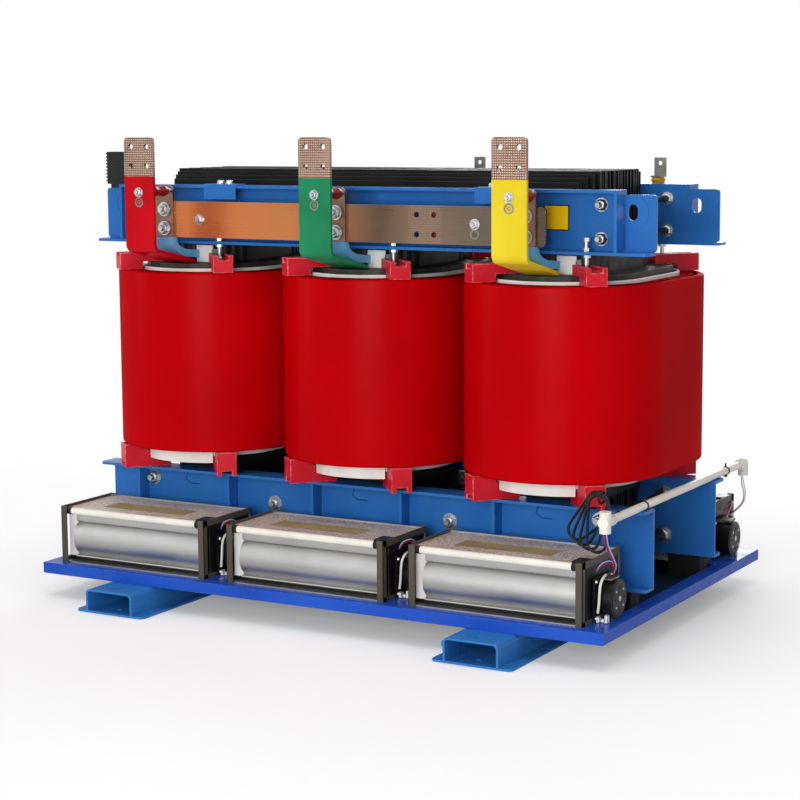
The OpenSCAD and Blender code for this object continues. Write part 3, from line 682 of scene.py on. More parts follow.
hank_route = [tee_back] + [TIE_AT + Vector(step) for step in LEAD_IN]
for turn, lean in enumerate(LEANS_DEG):
    loop = hank_turn(TURN_LONG, FOLD_R)
    tip = Matrix.Rotation(math.radians(lean), 3, "Y")
    hank_route += [TIE_AT + tip @ Vector((side, 0, down)) + BACK * TURN_STEP * (turn + i / len(loop))
                   for i, (side, down) in enumerate(loop)]
hank_route = hank_route[:-LAST_RISE] + [conduit_side]
cord("cable_hank_turns", hank_route, CABLE_D, wire_pvc["black"], ["cable_hank"])

# %% [markdown]
# ## Motor leads
# Each blower motor has a white sleeve down its side and two thin leads that go into the blower. Three
# more leads drop from the tee to the front motor, and two from the elbow to the back one.

# %% Motor leads
LEAD_D = 3.0
SLEEVE_D = 7.0
blower_low, blower_high = corners("blower_front_middle")
BLOWER_LEN = blower_high.x - blower_low.x
blower_shift = (blower_low.x + blower_high.x) / 2
SLEEVE_ROUTE = ((22, 452, 222), (24, 470, 220), (22, 484, 206), (21, 487, 180), (19, 486, 150),
                (15, 484, 128))
# Places of the first lead of a bundle, each with the step to the same place of the next lead.
LEAD_ROUTE = (((24, 410, 221), (3, 4, 0)), ((30, 420, 240), (4, 4, 6)), ((30, 450, 256), (5, 0, 6)),
              ((20, 470, 252), (0, 3, 5)), ((10, 468, 240), (0, 4, 3)), ((2, 456, 232), (0, 5, 0)))


def bundled(route, i):
    """The places of the lead of number i in a bundle."""
    return [Vector(place) + i * Vector(step) for place, step in route]


def motor_leads(name, end_x, side, colours):
    """A white sleeve and thin leads at a motor; end_x is the blower's end face, side is -1 at the front."""
    def at(place):
        return Vector((end_x + place[0], side * place[1], place[2]))
    sleeve = [at(place) for place in SLEEVE_ROUTE]
    cord(f"{name}_sleeve", eased(sleeve), SLEEVE_D, wire_pvc["white"])
    for i, colour in enumerate(colours):
        lead = [at(place) for place in bundled(LEAD_ROUTE, i)]
        cord(f"{name}_lead_{colour}", eased(lead), LEAD_D, wire_pvc[colour])


for phase, x in zip(phases, phase_x):
    for row, side in (("front", -1), ("back", 1)):
        motor_leads(f"motor_{row}_{phase}", x + blower_shift + BLOWER_LEN / 2, side, ("red", "blue"))

# %% Leads from the tee and the elbow
tee_foot = Vector((pipe_x, -506, 340))
elbow_foot = Vector((pipe_x, 489, 333))
TEE_ROUTE = ((tee_foot + Vector((-4, 0, 0)), (4, 0, 0)), (tee_foot + Vector((-2, 4, -30)), (4, 0, 0)),
             ((882, -492, 282), (3, 0, 0)), ((884, -474, 256), (3, 0, 0)), ((872, -452, 240), (3, 0, 0)),
             ((856, -430, 224), (4, 0, 0)))
ELBOW_ROUTE = ((elbow_foot + Vector((-2, 0, 0)), (5, 0, 0)), (elbow_foot + Vector((0, 3, -26)), (7, 0, 0)),
               ((886, 478, 282), (4, 0, 0)), ((884, 462, 256), (4, 0, 0)), ((870, 446, 240), (4, 0, 0)),
               ((856, 430, 224), (4, 0, 0)))
for fitting, foot, route, colours in (("tee", tee_foot, TEE_ROUTE, ("red", "purple", "blue")),
                                      ("elbow", elbow_foot, ELBOW_ROUTE, ("red", "blue"))):
    for i, colour in enumerate(colours):
        drop = eased(bundled(route, i))
        cord(f"{fitting}_lead_{colour}", drop, LEAD_D, wire_pvc[colour])

# %% [markdown]
# ## Oval sweep
# Each coil is an oval: two half circles joined by straight sides. A stretched circle would thin its wall
# at the ends, so a profile of radius and height is swept round the true oval instead.

# %% Oval sweep
ARC_STEPS = 56
PART_ARC_STEPS = 24


def oval_path(half_angle=None):
    """Directions round an oval, as sine, cosine and side; a half angle gives arcs at front and back only."""
    def run(side, half, steps):
        angles = [math.radians(-half + 2 * half * i / steps) for i in range(steps + 1)]
        return [(math.sin(a) * -side, math.cos(a) * side, side) for a in angles]
    if half_angle is None:
        return [run(-1, 90, ARC_STEPS) + run(1, 90, ARC_STEPS)]
    return [run(side, half_angle, PART_ARC_STEPS) for side in (-1, 1)]


def add_oval(bm, x, profile, closed=True, path=None, ribs=None, material_of=None):
    """Sweeps a closed profile of (radius, height) round an oval about x."""
    count = len(profile)
    for run in path or oval_path():
        rings = []
        for j, (sx, sy, side) in enumerate(run):
            grow = ribs(j) if ribs else 0
            section = [(r + grow, z) for r, z in profile]
            rings.append([bm.verts.new(Vector((x + r * sx, side * straight + r * sy, z)) * MM)
                          for r, z in section])
        for first, second in zip(rings, rings[1:] + rings[:1] if closed else rings[1:]):
            for i in range(count):
                face = bm.faces.new((first[i], first[(i + 1) % count], second[(i + 1) % count], second[i]))
                face.material_index = material_of(i) if material_of else 0
        if not closed:
            bm.faces.new(rings[0])
            bm.faces.new(rings[-1])


def rounded(r_in, r_out, low, high, radius):
    """A rectangle profile with rounded corners, as (radius, height) points."""
    points = []
    for cr, cz, first in ((r_out - radius, low + radius, -90), (r_out - radius, high - radius, 0),
                          (r_in + radius, high - radius, 90), (r_in + radius, low + radius, 180)):
        for i in range(5):
            a = math.radians(first + 90 * i / 4)
            points.append((cr + radius * math.cos(a), cz + radius * math.sin(a)))
    return points


print("oval of", 2 * (ARC_STEPS + 1), "steps")

# %% [markdown]
# ## High-voltage coils
# The cast coil has a rounded rim where the mould ended, and two narrow ring ducts in its top face, where
# cooling air comes out. The ducts are cut into the swept profile, and their walls get a nearly black red as
# painted shade.

# %% High-voltage coils
HV_WALL = 62
RIM_R = 7
DUCTS = ((20, 28), (40, 47))
DUCT_DEEP = 26
# Faces of the duct walls and floors, which carry the painted shade.
DUCT_SHADE_FACES = (10, 11, 12, 14, 15, 16)


def coil_profile():
    """The coil's section: rounded rims and two ring ducts in the top face."""
    section = rounded(coil_r - HV_WALL, coil_r, coil_low.z, coil_high.z, RIM_R)
    cut = []
    for near, far in DUCTS:
        cut += [(coil_r - near, coil_high.z), (coil_r - near, coil_high.z - DUCT_DEEP),
                (coil_r - far, coil_high.z - DUCT_DEEP), (coil_r - far, coil_high.z)]
    return section[:10] + cut + section[10:]


for phase, x in zip(phases, phase_x):
    bm = bmesh.new()
    add_oval(bm, x, coil_profile(), material_of=lambda i: 1 if i in DUCT_SHADE_FACES else 0)
    piece(f"coil_{phase}_cast", bm, [coil_epoxy, duct_shade_epoxy], 0, [f"hv_coil_{phase}"])
print("coils", coil_high.z - coil_low.z, "mm tall")

# %% [markdown]
# ## Barriers and windings
# A white sheet barrier stands between the coils, with a folded ring on top and short skirts below. Inside
# it is the dark low-voltage winding, whose wrap is corrugated by its spacers. The same sweep makes them
# all: the ribs come from pulling every other pair of steps in.

# %% Barriers and windings
barrier_low, barrier_high = corners("barrier_cylinders")
barrier_r = barrier_high.x - phase_x[2]
lv_low, lv_high = corners("lv_coil_middle")
BARRIER_THICK = 5
RING_SHOWS = 8
SKIRT_LOW = 388
SKIRT_HALF_ANGLE = 31
LV_BORE_R = 122
WRAP_R = 124
WRAP_TOP = 1026
RIB_EVERY = 4
RIB_MM = 5

bm = bmesh.new()
for x in phase_x:
    inner_r = barrier_r - BARRIER_THICK
    add_oval(bm, x, rounded(inner_r, barrier_r, barrier_low.z, coil_high.z, 1.5))
    add_oval(bm, x, rounded(inner_r, barrier_r + 4, coil_high.z - 10, coil_high.z + RING_SHOWS, 3))
piece("barriers_white", bm, [barrier_sheet], 0, ["barrier_cylinders"])

bm = bmesh.new()
for x in phase_x:
    skirt = rounded(barrier_r + 1, barrier_r + 7, SKIRT_LOW, coil_low.z, 1.2)
    add_oval(bm, x, skirt, False, oval_path(SKIRT_HALF_ANGLE))
piece("barrier_skirts", bm, [barrier_sheet], 0, ())

for phase, x in zip(phases, phase_x):
    bm = bmesh.new()
    add_oval(bm, x, rounded(LV_BORE_R, lv_high.x, lv_low.z, lv_high.z, 3),
             ribs=lambda j: 0 if j % RIB_EVERY < 2 else -2)
    add_oval(bm, x, rounded(WRAP_R - 10, WRAP_R, lv_high.z - 8, WRAP_TOP, 2),
             ribs=lambda j: 0 if j % RIB_EVERY < 2 else -RIB_MM)
    piece(f"winding_{phase}_ribbed", bm, [winding_compound], 0, [f"lv_coil_{phase}"])
print(piece_count, "pieces so far")

# %% [markdown]
# ## Dressed CAD nodes
# Plates, blocks, pads and bars already have the right shape, so each gets a copy with rounded edges and
# its finish. Plate corners that a cutting torch or a press would round get a larger radius first. The
# runners are folded from plate, so their long edges get a bend radius.

# %% Dressing
RUNNER_PLATE = 6
runner_low, runner_high = corners("runner_right")
FOLDS = {node: ((runner_high.z, 14), (runner_high.z - RUNNER_PLATE, 8))
         for node in ("runner_left", "runner_right")}
LONG_EDGE_MM = 1000
EDGE_MM = 1.2


def fold(bm, at_z, radius_mm):
    """Rounds the long edges of a folded plate that run along Y at a height."""
    long_edges = [e for e in bm.edges if all(abs(v.co.z / MM - at_z) < 0.1 for v in e.verts)
                  and e.calc_length() > LONG_EDGE_MM * MM
                  and e.calc_face_angle(0) > math.radians(ROUND_FROM_DEG)]
    bmesh.ops.bevel(bm, geom=long_edges, offset=radius_mm * MM, segments=5, profile=0.5, affect="EDGES")


def dress(node, material, round_mm=EDGE_MM, plate_mm=0.0, corner_mm=0.0):
    """A copy of a CAD node with rounded edges and its finish, which stands for it. Corners of plates that are
    plate_mm thick are rounded off to corner_mm first."""
    bm = bmesh.new()
    bm.from_mesh(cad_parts[node].data)
    bmesh.ops.remove_doubles(bm, verts=bm.verts, dist=0.01 * MM)
    bmesh.ops.dissolve_limit(bm, angle_limit=math.radians(1), verts=bm.verts, edges=bm.edges)
    for at_z, radius_mm in FOLDS.get(node, ()):
        fold(bm, at_z, radius_mm)
    if corner_mm:
        corner_edges = [e for e in bm.edges if abs(e.calc_length() - plate_mm * MM) < 0.1 * MM and e.is_convex
                        and e.calc_face_angle(0) > math.radians(80)]
        bmesh.ops.bevel(bm, geom=corner_edges, offset=corner_mm * MM, segments=5, profile=0.5, affect="EDGES",
                        clamp_overlap=True)
    return piece(node + "_finish", bm, [material], round_mm, [node])


print("runner plate", RUNNER_PLATE, "mm")

# %% Frame, pads and bars
dressings = {
    runner_enamel: ("runner_left", "runner_right"),
    tray_enamel: ("tray_frame",),
    floor_enamel: ("tray_floor",),
    black_rubber: ("support_blocks",),
    clamp_enamel: ("lower_clamp_front", "lower_clamp_back", "upper_clamp_front", "upper_clamp_back",
                   "lifting_lugs", "hv_brackets"),
    core_varnish: ("core_legs",),
    pad_compound: ("upper_pads", "lower_pads"),
    rolled_copper: ("neutral_bar",),
    lead_finish: ("neutral_leads",),
    bobbin_compound: ("neutral_supports",),
    tinned_strip: ("hv_flags",),
    rigid_pvc: ("conduit",),
    black_nylon: ("upper_tie_rods", "lower_tie_rods"),
}
ROUND_MM = {"runner_left": 4.0, "runner_right": 4.0, "upper_pads": 2.0, "lower_pads": 2.0, "tray_floor": 0.6}
PLATE_MM = {"upper_clamp_front": 8, "upper_clamp_back": 8, "lower_clamp_front": 8, "lower_clamp_back": 8,
            "lifting_lugs": 8, "neutral_bar": 10, "neutral_leads": 8, "hv_flags": 5}
CORNER_MM = {"lifting_lugs": 10, "hv_flags": 4, "neutral_bar": 8}
PLATE_CORNER = 14
BAR_THICK = 10
BAR_EDGE, BAR_CORNER = 1.6, 12
for material, nodes in dressings.items():
    for node in nodes:
        corner_mm = CORNER_MM.get(node, PLATE_CORNER if node in PLATE_MM else 0)
        dress(node, material, ROUND_MM.get(node, EDGE_MM), PLATE_MM.get(node, 0), corner_mm)
for colour, material in bar_finish.items():
    dress(f"phase_bar_{colour}", material, BAR_EDGE, BAR_THICK, BAR_CORNER)
print(piece_count, "pieces so far")

# %% [markdown]
# ## Core yokes
# The yokes are stacks of sheets in packets, longest and tallest in the middle. Cut sheets never end at
# quite the same place, so each stack of a few sheets is a box of its own, pulled in at the ends by a
# small seeded random length. That gives the ragged, stepped ends that show above the clamps, which a bump
# on one smooth block couldn't give.

# %% Core yokes
STACK_MM = 7.5
STACK_GAP = 0.4
RAGGED_END = 9
RAGGED_TOP = 1.6
PACKETS = ((0.21, 1), (0.48, 0.92), (0.7, 0.84), (0.88, 0.72), (1, 0.59))
ragged = random.Random(7)


def laminated_yoke(node):
    """A yoke built from boxes of a few sheets each."""
    low, high = corners(node)
    half = (high.z - low.z) / 2
    mid = (high.z + low.z) / 2
    reach = [straight + share * half for share, _ in PACKETS]
    bm = bmesh.new()
    rows = int(2 * reach[-1] / STACK_MM)
    for row in range(rows):
        y0 = -reach[-1] + row * 2 * reach[-1] / rows
        y1 = y0 + 2 * reach[-1] / rows
        tall = next(h for r, (_, h) in zip(reach, PACKETS) if max(abs(y0), abs(y1)) <= r + 0.01) * half
        end = phase_pitch + tall
        left, right, top = [ragged.random() * most for most in (RAGGED_END, RAGGED_END, RAGGED_TOP)]
        add_box(bm, (-end + left, y0 + STACK_GAP, mid - tall + top),
                (end - right, y1 - STACK_GAP, mid + tall - top))
    piece(node + "_laminated", bm, [core_varnish], 0.5, [node])
    print(node, rows, "stacks")


laminated_yoke("core_top_yoke")
laminated_yoke("core_bottom_yoke")

# %% [markdown]
# ## Bolts
# Zinc-plated hexagon bolts hold the bars, the clamps and the pads. They are many and all of one finish,
# so those of one kind are collected in a joined mesh instead of an object each.

# %% Bolts on the bars
bar_front = bar_low.y
BOLT_BELOW_TOP = 154
BAR_THREAD, BAR_STUD = 12, 5
LEAD_THREAD, LEAD_STUD = 18, 8
bar_shift = (bar_low.x + bar_high.x) / 2
bar_bolt_z = bar_high.z - BOLT_BELOW_TOP
lead_low, lead_high = corners("neutral_leads")
LEAD_BOLT_X = -26
lead_bolt_z = [lead_high.z - drop for drop in (69, 124)]
neutral_low = corners("neutral_bar")[0]
NEUTRAL_BOLTS = ((-491, 1103), (404, 1106))

bm = bmesh.new()
for x in phase_x:
    add_bolt(bm, (x + bar_shift, bar_front, bar_bolt_z), FRONT, BAR_THREAD, BAR_STUD)
    add_bolt(bm, (x + bar_shift, bar_front + BAR_THICK, bar_bolt_z), BACK, BAR_THREAD)
    for z in lead_bolt_z:
        add_bolt(bm, (x + LEAD_BOLT_X, lead_low.y, z), FRONT, LEAD_THREAD, LEAD_STUD)
piece("bar_bolts", bm, [plated_zinc], 0.6)
print("bar bolts at", bar_bolt_z)

# %% Jack bolts
jack_low = corners("jack_bolts")[0]
JACK_X, JACK_Y = 121, 262
JACK_TOP = 1066
JACK_NUTS = ((jack_low.z, jack_low.z + 5, 12), (1021, 1029, 12), (1038.5, 1048, 12), (1064, 1075, 11))

bm = bmesh.new()
for x in phase_x:
    for sx in (-1, 1):
        for sy in (-1, 1):
            at = Vector((x + sx * JACK_X, sy * JACK_Y, 0))
            add_rod(bm, at + UP * jack_low.z, at + UP * JACK_TOP, 6, 18)
            for low, high, r in JACK_NUTS:
                add_rod(bm, at + UP * low, at + UP * high, r, 6)
piece("jack_bolts_threaded", bm, [plated_zinc], 0.6, ["jack_bolts"])
print("jack bolts", JACK_TOP - jack_low.z, "mm long")

# %% Clamp bolts
web_y = -corners("lifting_lugs")[0].y
CLAMP_PLATE = 8
TIE_BOLTS = ((735, (1070, 1160), 16, 16), (737, (195, 315), 20, 10))
YOKE_BOLTS_X, YOKE_BOLTS_Z = (-301, 280), 271
YOKE_THREAD, YOKE_STUD = 20, 8
NEUTRAL_THREAD, NEUTRAL_STUD = 13, 4

bm = bmesh.new()
for x, z in NEUTRAL_BOLTS:
    add_bolt(bm, (x, neutral_low.y, z), FRONT, NEUTRAL_THREAD, NEUTRAL_STUD)
for sy in (-1, 1):
    for tie_x, heights, thread, stud in TIE_BOLTS:
        for x in (-tie_x, tie_x):
            for z in heights:
                add_bolt(bm, (x, sy * web_y, z), BACK * sy, thread, stud)
                add_bolt(bm, (x, sy * (web_y - CLAMP_PLATE), z), FRONT * sy, thread)
    for x in YOKE_BOLTS_X:
        add_bolt(bm, (x, sy * web_y, YOKE_BOLTS_Z), BACK * sy, YOKE_THREAD, YOKE_STUD)
piece("clamp_bolts", bm, [plated_zinc], 0.6)
print("clamp webs at y", web_y)

# %% [markdown]
# ## Earth rings and the blank plate
# Below each bolt of the bars is a spare tapped hole with a bright ring round it. A blank yellow plate
# with a dark border sits on the front clamp's web. Both are thin, but they stand proud, so they are real
# rings and boxes.

# %% Rings and blank plate
RING_BELOW_TOP = 182
# Inner radius, outer radius and height of the rings on a phase bar and of the one on the neutral bar.
BAR_RINGS = ((10, 14, 1.5), (3, 6, 0.8))
NEUTRAL_RING = (9, 14, 1.5)
NEUTRAL_RING_X, NEUTRAL_RING_Z = 404, 1079
ring_z = bar_high.z - RING_BELOW_TOP
bm = bmesh.new()
for x in phase_x:
    for ring in BAR_RINGS:
        add_ring(bm, (x + bar_shift, bar_front, ring_z), FRONT, *ring)
add_ring(bm, (NEUTRAL_RING_X, neutral_low.y, NEUTRAL_RING_Z), FRONT, *NEUTRAL_RING)
piece("washer_rings", bm, [tinned_strip], 0)

PLATE_LOW, PLATE_HIGH = Vector((567, 0, 1090)), Vector((641, 0, 1158))
BORDER = Vector((3, 0, 3))
border_y, face_y = -web_y - 1, -web_y - 1.8
bm = bmesh.new()
add_box(bm, PLATE_LOW + BACK * border_y, PLATE_HIGH - BACK * web_y, 1)
add_box(bm, PLATE_LOW + BORDER + BACK * face_y, PLATE_HIGH - BORDER + BACK * border_y)
piece("blank_plate", bm, [plate_enamel, black_nylon])
print("blank plate", PLATE_HIGH.x - PLATE_LOW.x, "by", PLATE_HIGH.z - PLATE_LOW.z, "mm")

# %% [markdown]
# ## Saddles over the clamps
# Two folded plates hang over each upper clamp's top flange, bolted down from above. They are painted with
# the clamps, so they are boxes in the same enamel with rounded edges.

# %% Saddles
upper_low, upper_high = corners("upper_clamp_front")
SADDLES = ((-494, -384), (389, 499))
SADDLE_TOP = 4
SADDLE_SIDE = 3
SADDLE_DROP = 40
SADDLE_DEEP = 52
SADDLE_BOLTS = (40, 70)
SADDLE_THREAD = 11
flange_y = -upper_low.y

bm = bmesh.new()
bolts = bmesh.new()
for x0, x1 in SADDLES:
    for sy in (-1, 1):
        side = sorted((sy * flange_y, sy * (flange_y + SADDLE_SIDE)))
        add_box(bm, (x0, side[0], upper_high.z - SADDLE_DROP), (x1, side[1], upper_high.z + SADDLE_TOP))
        top = sorted((sy * (flange_y - SADDLE_DEEP), sy * flange_y))
        add_box(bm, (x0, top[0], upper_high.z), (x1, top[1], upper_high.z + SADDLE_TOP))
        for along in SADDLE_BOLTS:
            add_bolt(bolts, (x0 + along, sy * JACK_Y, upper_high.z + SADDLE_TOP), UP, SADDLE_THREAD)
piece("yoke_saddles", bm, [clamp_enamel], 1.5)
piece("saddle_bolts", bolts, [plated_zinc], 0.6)
print(2 * len(SADDLES), "saddles")

# %% [markdown]
# ## Spacers, sleeves and bobbins
# The neutral leads bend over the winding in sky-blue shrink sleeves, with white spacers behind them.
# Red-brown bobbins hold the painted bars off the leads. A sleeve is a thick band along a bent line, so
# its two sides are worked out from the line's own direction.

# %% Spacers
# The face plate and its rib: range along X, range along Y and top.
SPACERS = (((27, 84), (239, 245), 1024), ((78, 84), (212, 245), 1012))
bm = bmesh.new()
for x in phase_x:
    for sy in (-1, 1):
        for (x0, x1), deep, top in SPACERS:
            y0, y1 = sorted(sy * y for y in deep)
            add_box(bm, (x + x0, y0, lv_high.z), (x + x1, y1, top))
piece("white_spacers", bm, [white_nylon], 1)
print("spacers stand on", lv_high.z)

# %% Lead sleeves
LEAD_MIDDLE_Y = -322
SLEEVE_TOP = 1050
BEND_R, BEND_Z = 27, 1030
BEND_STEPS = 6
SLEEVE_END = (-243, 998)
SLEEVE_LEFT = -68
SLEEVE_RIGHT = (5, 38)
SLEEVE_HALF = 11

BEND_DEG = 85
bend = [math.radians(180 + BEND_DEG * i / (BEND_STEPS - 1)) for i in range(BEND_STEPS)]
sleeve_line = [Vector((LEAD_MIDDLE_Y, SLEEVE_TOP))]
sleeve_line += [Vector((LEAD_MIDDLE_Y + BEND_R * (1 + math.cos(a)), BEND_Z + BEND_R * math.sin(a)))
                for a in bend]
sleeve_line += [Vector(SLEEVE_END)]
last = len(sleeve_line) - 1
over, under = [], []
for i, point in enumerate(sleeve_line):
    run = (sleeve_line[min(i + 1, last)] - sleeve_line[max(i - 1, 0)]).normalized()
    aside = Vector((-run.y, run.x)) * SLEEVE_HALF
    over.append(point + aside)
    under.append(point - aside)
outline = over + under[::-1]
right_edge = [SLEEVE_RIGHT[0] + (SLEEVE_RIGHT[1] - SLEEVE_RIGHT[0]) * i / last for i in range(last + 1)]
edges = ([SLEEVE_LEFT] * len(outline), right_edge + right_edge[::-1])

bm = bmesh.new()
for x in phase_x:
    ends = [[bm.verts.new(Vector((x + side, *place)) * MM) for place, side in zip(outline, sides)]
            for sides in edges]
    for i in range(len(outline)):
        j = (i + 1) % len(outline)
        bm.faces.new((ends[0][i], ends[0][j], ends[1][j], ends[1][i]))
    bm.faces.new(ends[0])
    bm.faces.new(ends[1])
piece("lead_sleeves", bm, [shrink_sleeve], 4, smooth_deg=50)
print("sleeves of", len(outline), "points")

# %% Bobbins
BOBBIN = ((-484, 14), (-470, 17), (-448, 12), (-428, 17), (-408, 12), (-384, 17), (-368, 13))
STUD_SHIFT, STUD_R = -14, 7
bm = bmesh.new()
for x in phase_x:
    at = Vector((x + bar_shift, 0, bar_bolt_z))
    for (y0, r0), (y1, r1) in zip(BOBBIN, BOBBIN[1:]):
        add_rod(bm, at + BACK * y0, at + BACK * y1, r0, 28, r1)
    stud = at + RIGHT * STUD_SHIFT
    add_rod(bm, stud + BACK * BOBBIN[-1][0], stud + BACK * lead_low.y, STUD_R, 18, None, 1)
piece("bar_bobbins", bm, [bobbin_compound, plated_zinc])
print(piece_count, "pieces so far")

# %% [markdown]
# ## Ties, comb and doublers
# Small things finish the frame: cable ties on the conduit and round the hank, a white comb on the tray,
# doubler rings round the lifting slots, thin wire clips on the lower clamps and a stop on the right
# runner.

# %% Ties and comb
CONDUIT_TIES = (-255, 350)
PIPE_R = 11
# The block under a tie and its cut tail, as corners from the conduit's middle.
TIE_BOXES = (((-5, 0, -18), (5, 6, -PIPE_R)), ((-2, 1, PIPE_R), (2, 5, 22)))
pipe_z = corners("lower_clamp_front")[1].z + PIPE_R
bm = bmesh.new()
for y in CONDUIT_TIES:
    at = Vector((pipe_x, y, pipe_z))
    add_ring(bm, at, BACK, PIPE_R + 0.2, PIPE_R + 2, 6, 24)
    for low, high in TIE_BOXES:
        add_box(bm, at + Vector(low), at + Vector(high))
add_ring(bm, TIE_AT + Vector((-2, 16, -8)), RIGHT, 17, 19, 7, 20)
piece("cable_ties", bm, [black_nylon])

COMB_X, COMB_PITCH, COMB_TEETH = 680, 13, 12
COMB_Y = (294, 304)
TOOTH_WIDE, TOOTH_TALL = 6, 31
STRIP_TALL = 12
COMB_Z = corners("tray_frame")[1].z
bm = bmesh.new()
for i in range(COMB_TEETH):
    x = COMB_X + COMB_PITCH * i
    add_box(bm, (x, COMB_Y[0], COMB_Z + 1), (x + TOOTH_WIDE, COMB_Y[1], COMB_Z + TOOTH_TALL))
strip_end = COMB_X + COMB_PITCH * COMB_TEETH - 4
add_box(bm, (COMB_X - 4, COMB_Y[0] + 2, COMB_Z), (strip_end, COMB_Y[1], COMB_Z + STRIP_TALL))
piece("tray_comb", bm, [white_nylon], 0.5)
print("comb on", COMB_Z)

# %% Doublers, clips and stop
LUG_X, LUG_Z = 823, 1141
DOUBLER = (30, 45, 1.5)
bm = bmesh.new()
for sx in (-1, 1):
    for sy in (-1, 1):
        add_ring(bm, (sx * LUG_X, sy * web_y, LUG_Z), BACK * sy, *DOUBLER)
piece("lug_doublers", bm, [clamp_enamel], 0.4)

CLIP = ((-30, 341), (-39, 318), (-22, 306), (11, 306))
CLIP_R = 1.3
bm = bmesh.new()
for x in phase_x:
    for sy in (-1, 1):
        for (x0, z0), (x1, z1) in zip(CLIP, CLIP[1:]):
            add_rod(bm, (x + x0, sy * web_y, z0), (x + x1, sy * web_y, z1), CLIP_R, 8)
piece("clamp_wire_clips", bm, [floor_enamel])

STOP_AT = Vector((497, runner_low.y + 26, 44))
STOP_LONG, STOP_R = 14, 8
bm = bmesh.new()
add_rod(bm, STOP_AT, STOP_AT - RIGHT * STOP_LONG, STOP_R, 20)
piece("runner_stop", bm, [runner_enamel], 1)
print(piece_count, "pieces so far")

# %% [markdown]
# ## Blowers
# Each blower is a cross-flow fan in a sheet aluminium scroll between two steel posts, with a white tube along
# its top edge and a perforated sheet over it. The fan itself isn't built: a black box fills the blower as
# painted shade for its dark inside. The scroll's belly is an arc. One function builds the blower from its own
# front corner, and the back row is its mirror image.

# %% Blower tools
BLOWER_DEEP = blower_high.y - blower_low.y
BLOWER_TALL = blower_high.z - blower_low.z
BELLY_Y, BELLY_Z, BELLY_R = 60.6, 73.5, 57.6
BELLY_HALF_DEG = 50
BELLY_STEPS = 12
belly = [math.radians(BELLY_HALF_DEG - 2 * BELLY_HALF_DEG * i / BELLY_STEPS) for i in range(BELLY_STEPS + 1)]
SCROLL = [(34, 150), (22, 150), (19, 146), (19, 127), (21, 123), (27, 121)]
SCROLL += [(BELLY_Y - BELLY_R * math.cos(a), BELLY_Z + BELLY_R * math.sin(a)) for a in belly]
SCROLL += [(24, 27), (20, 24.5), (14, 23), (12, 20), (16, 17), (34, 17)]
SCROLL_LEFT, SCROLL_RIGHT = 22, 8


def add_strip(bm, points, x0, x1, material_index):
    """A sheet through points of (y, z), from x0 to x1."""
    rows = [[bm.verts.new(Vector((x, y, z)) * MM) for y, z in points] for x in (x0, x1)]
    for i in range(len(points) - 1):
        face = bm.faces.new((rows[0][i], rows[0][i + 1], rows[1][i + 1], rows[1][i]))
        face.material_index = material_index


def place_blower(bm, x, back):
    """Moves a mesh from the blower's own corner to its place; the back one is mirrored."""
    for v in bm.verts:
        y = v.co.y / MM + blower_low.y
        v.co = Vector((v.co.x / MM + x, -y if back else y, v.co.z / MM + blower_low.z)) * MM


print("blowers", BLOWER_LEN, "by", BLOWER_DEEP, "by", BLOWER_TALL, "mm")

# %% Blower housings
POST = 20
POST_SHEET = 3
END_SHEET = 2.5
HALF_LEN = BLOWER_LEN / 2
INNER = HALF_LEN - POST
TUBE_Y, TUBE_Z, TUBE_R = 14, BLOWER_TALL - 14, 10
TOP_LOW, TOP_HIGH = BLOWER_TALL - 12, BLOWER_TALL - 8
BLOWER_FINISHES = [post_enamel, black_nylon, brushed_aluminium, barrier_sheet, blower_top, rigid_pvc,
                   blower_backing]
POST_PAINT, BLACK, SHEET, WHITE, MESH, TUBE, BACKING = range(len(BLOWER_FINISHES))
# Strips of an end sheet: depth, foot and top.
END_STRIPS = ((BLOWER_DEEP, BLOWER_TALL - 18, BLOWER_TALL), (BLOWER_DEEP, 0, 12), (18, 0, BLOWER_TALL))
# The inner box, black as painted shade for the dark inside of the blower, and the back sheet, which come
# before the scroll.
SHADE_BOX_AND_BACK_SHEET = (
    ((-INNER - 16, 34, 4), (INNER + 16, BLOWER_DEEP - 6, BLOWER_TALL - 16), BLACK),
    ((2 - HALF_LEN, BLOWER_DEEP - 4, 4), (HALF_LEN - 2, BLOWER_DEEP - 2, BLOWER_TALL - 4), SHEET))
# The white end panel, the perforated top and the floor.
BOXES_ROUND = (
    ((-INNER - 10, 25, 18), (24 - INNER, 27, BLOWER_TALL - 20), WHITE),
    ((4 - HALF_LEN, 12, TOP_LOW), (HALF_LEN - 4, BLOWER_DEEP - 4, TOP_HIGH), MESH),
    ((4 - HALF_LEN, 6, 0), (HALF_LEN - 4, BLOWER_DEEP - 4, 4), SHEET))
# The white tube and its two black ends, along X.
TUBES = ((12 - INNER, INNER - 8, TUBE_R, TUBE), (-INNER - 4, 12 - INNER, TUBE_R + 1, BLACK),
         (INNER - 14, INNER + 12, TUBE_R + 1.5, BLACK))
# The bare patch of backing on the top, and the switch at its right end.
BOXES_ON_TOP = (
    ((-0.62 * HALF_LEN, 80, TOP_HIGH), (0.5 * HALF_LEN, 150, TOP_HIGH + 0.6), BACKING),
    ((HALF_LEN - 40, 20, TOP_HIGH), (HALF_LEN - 6, 70, BLOWER_TALL - 1), BLACK))


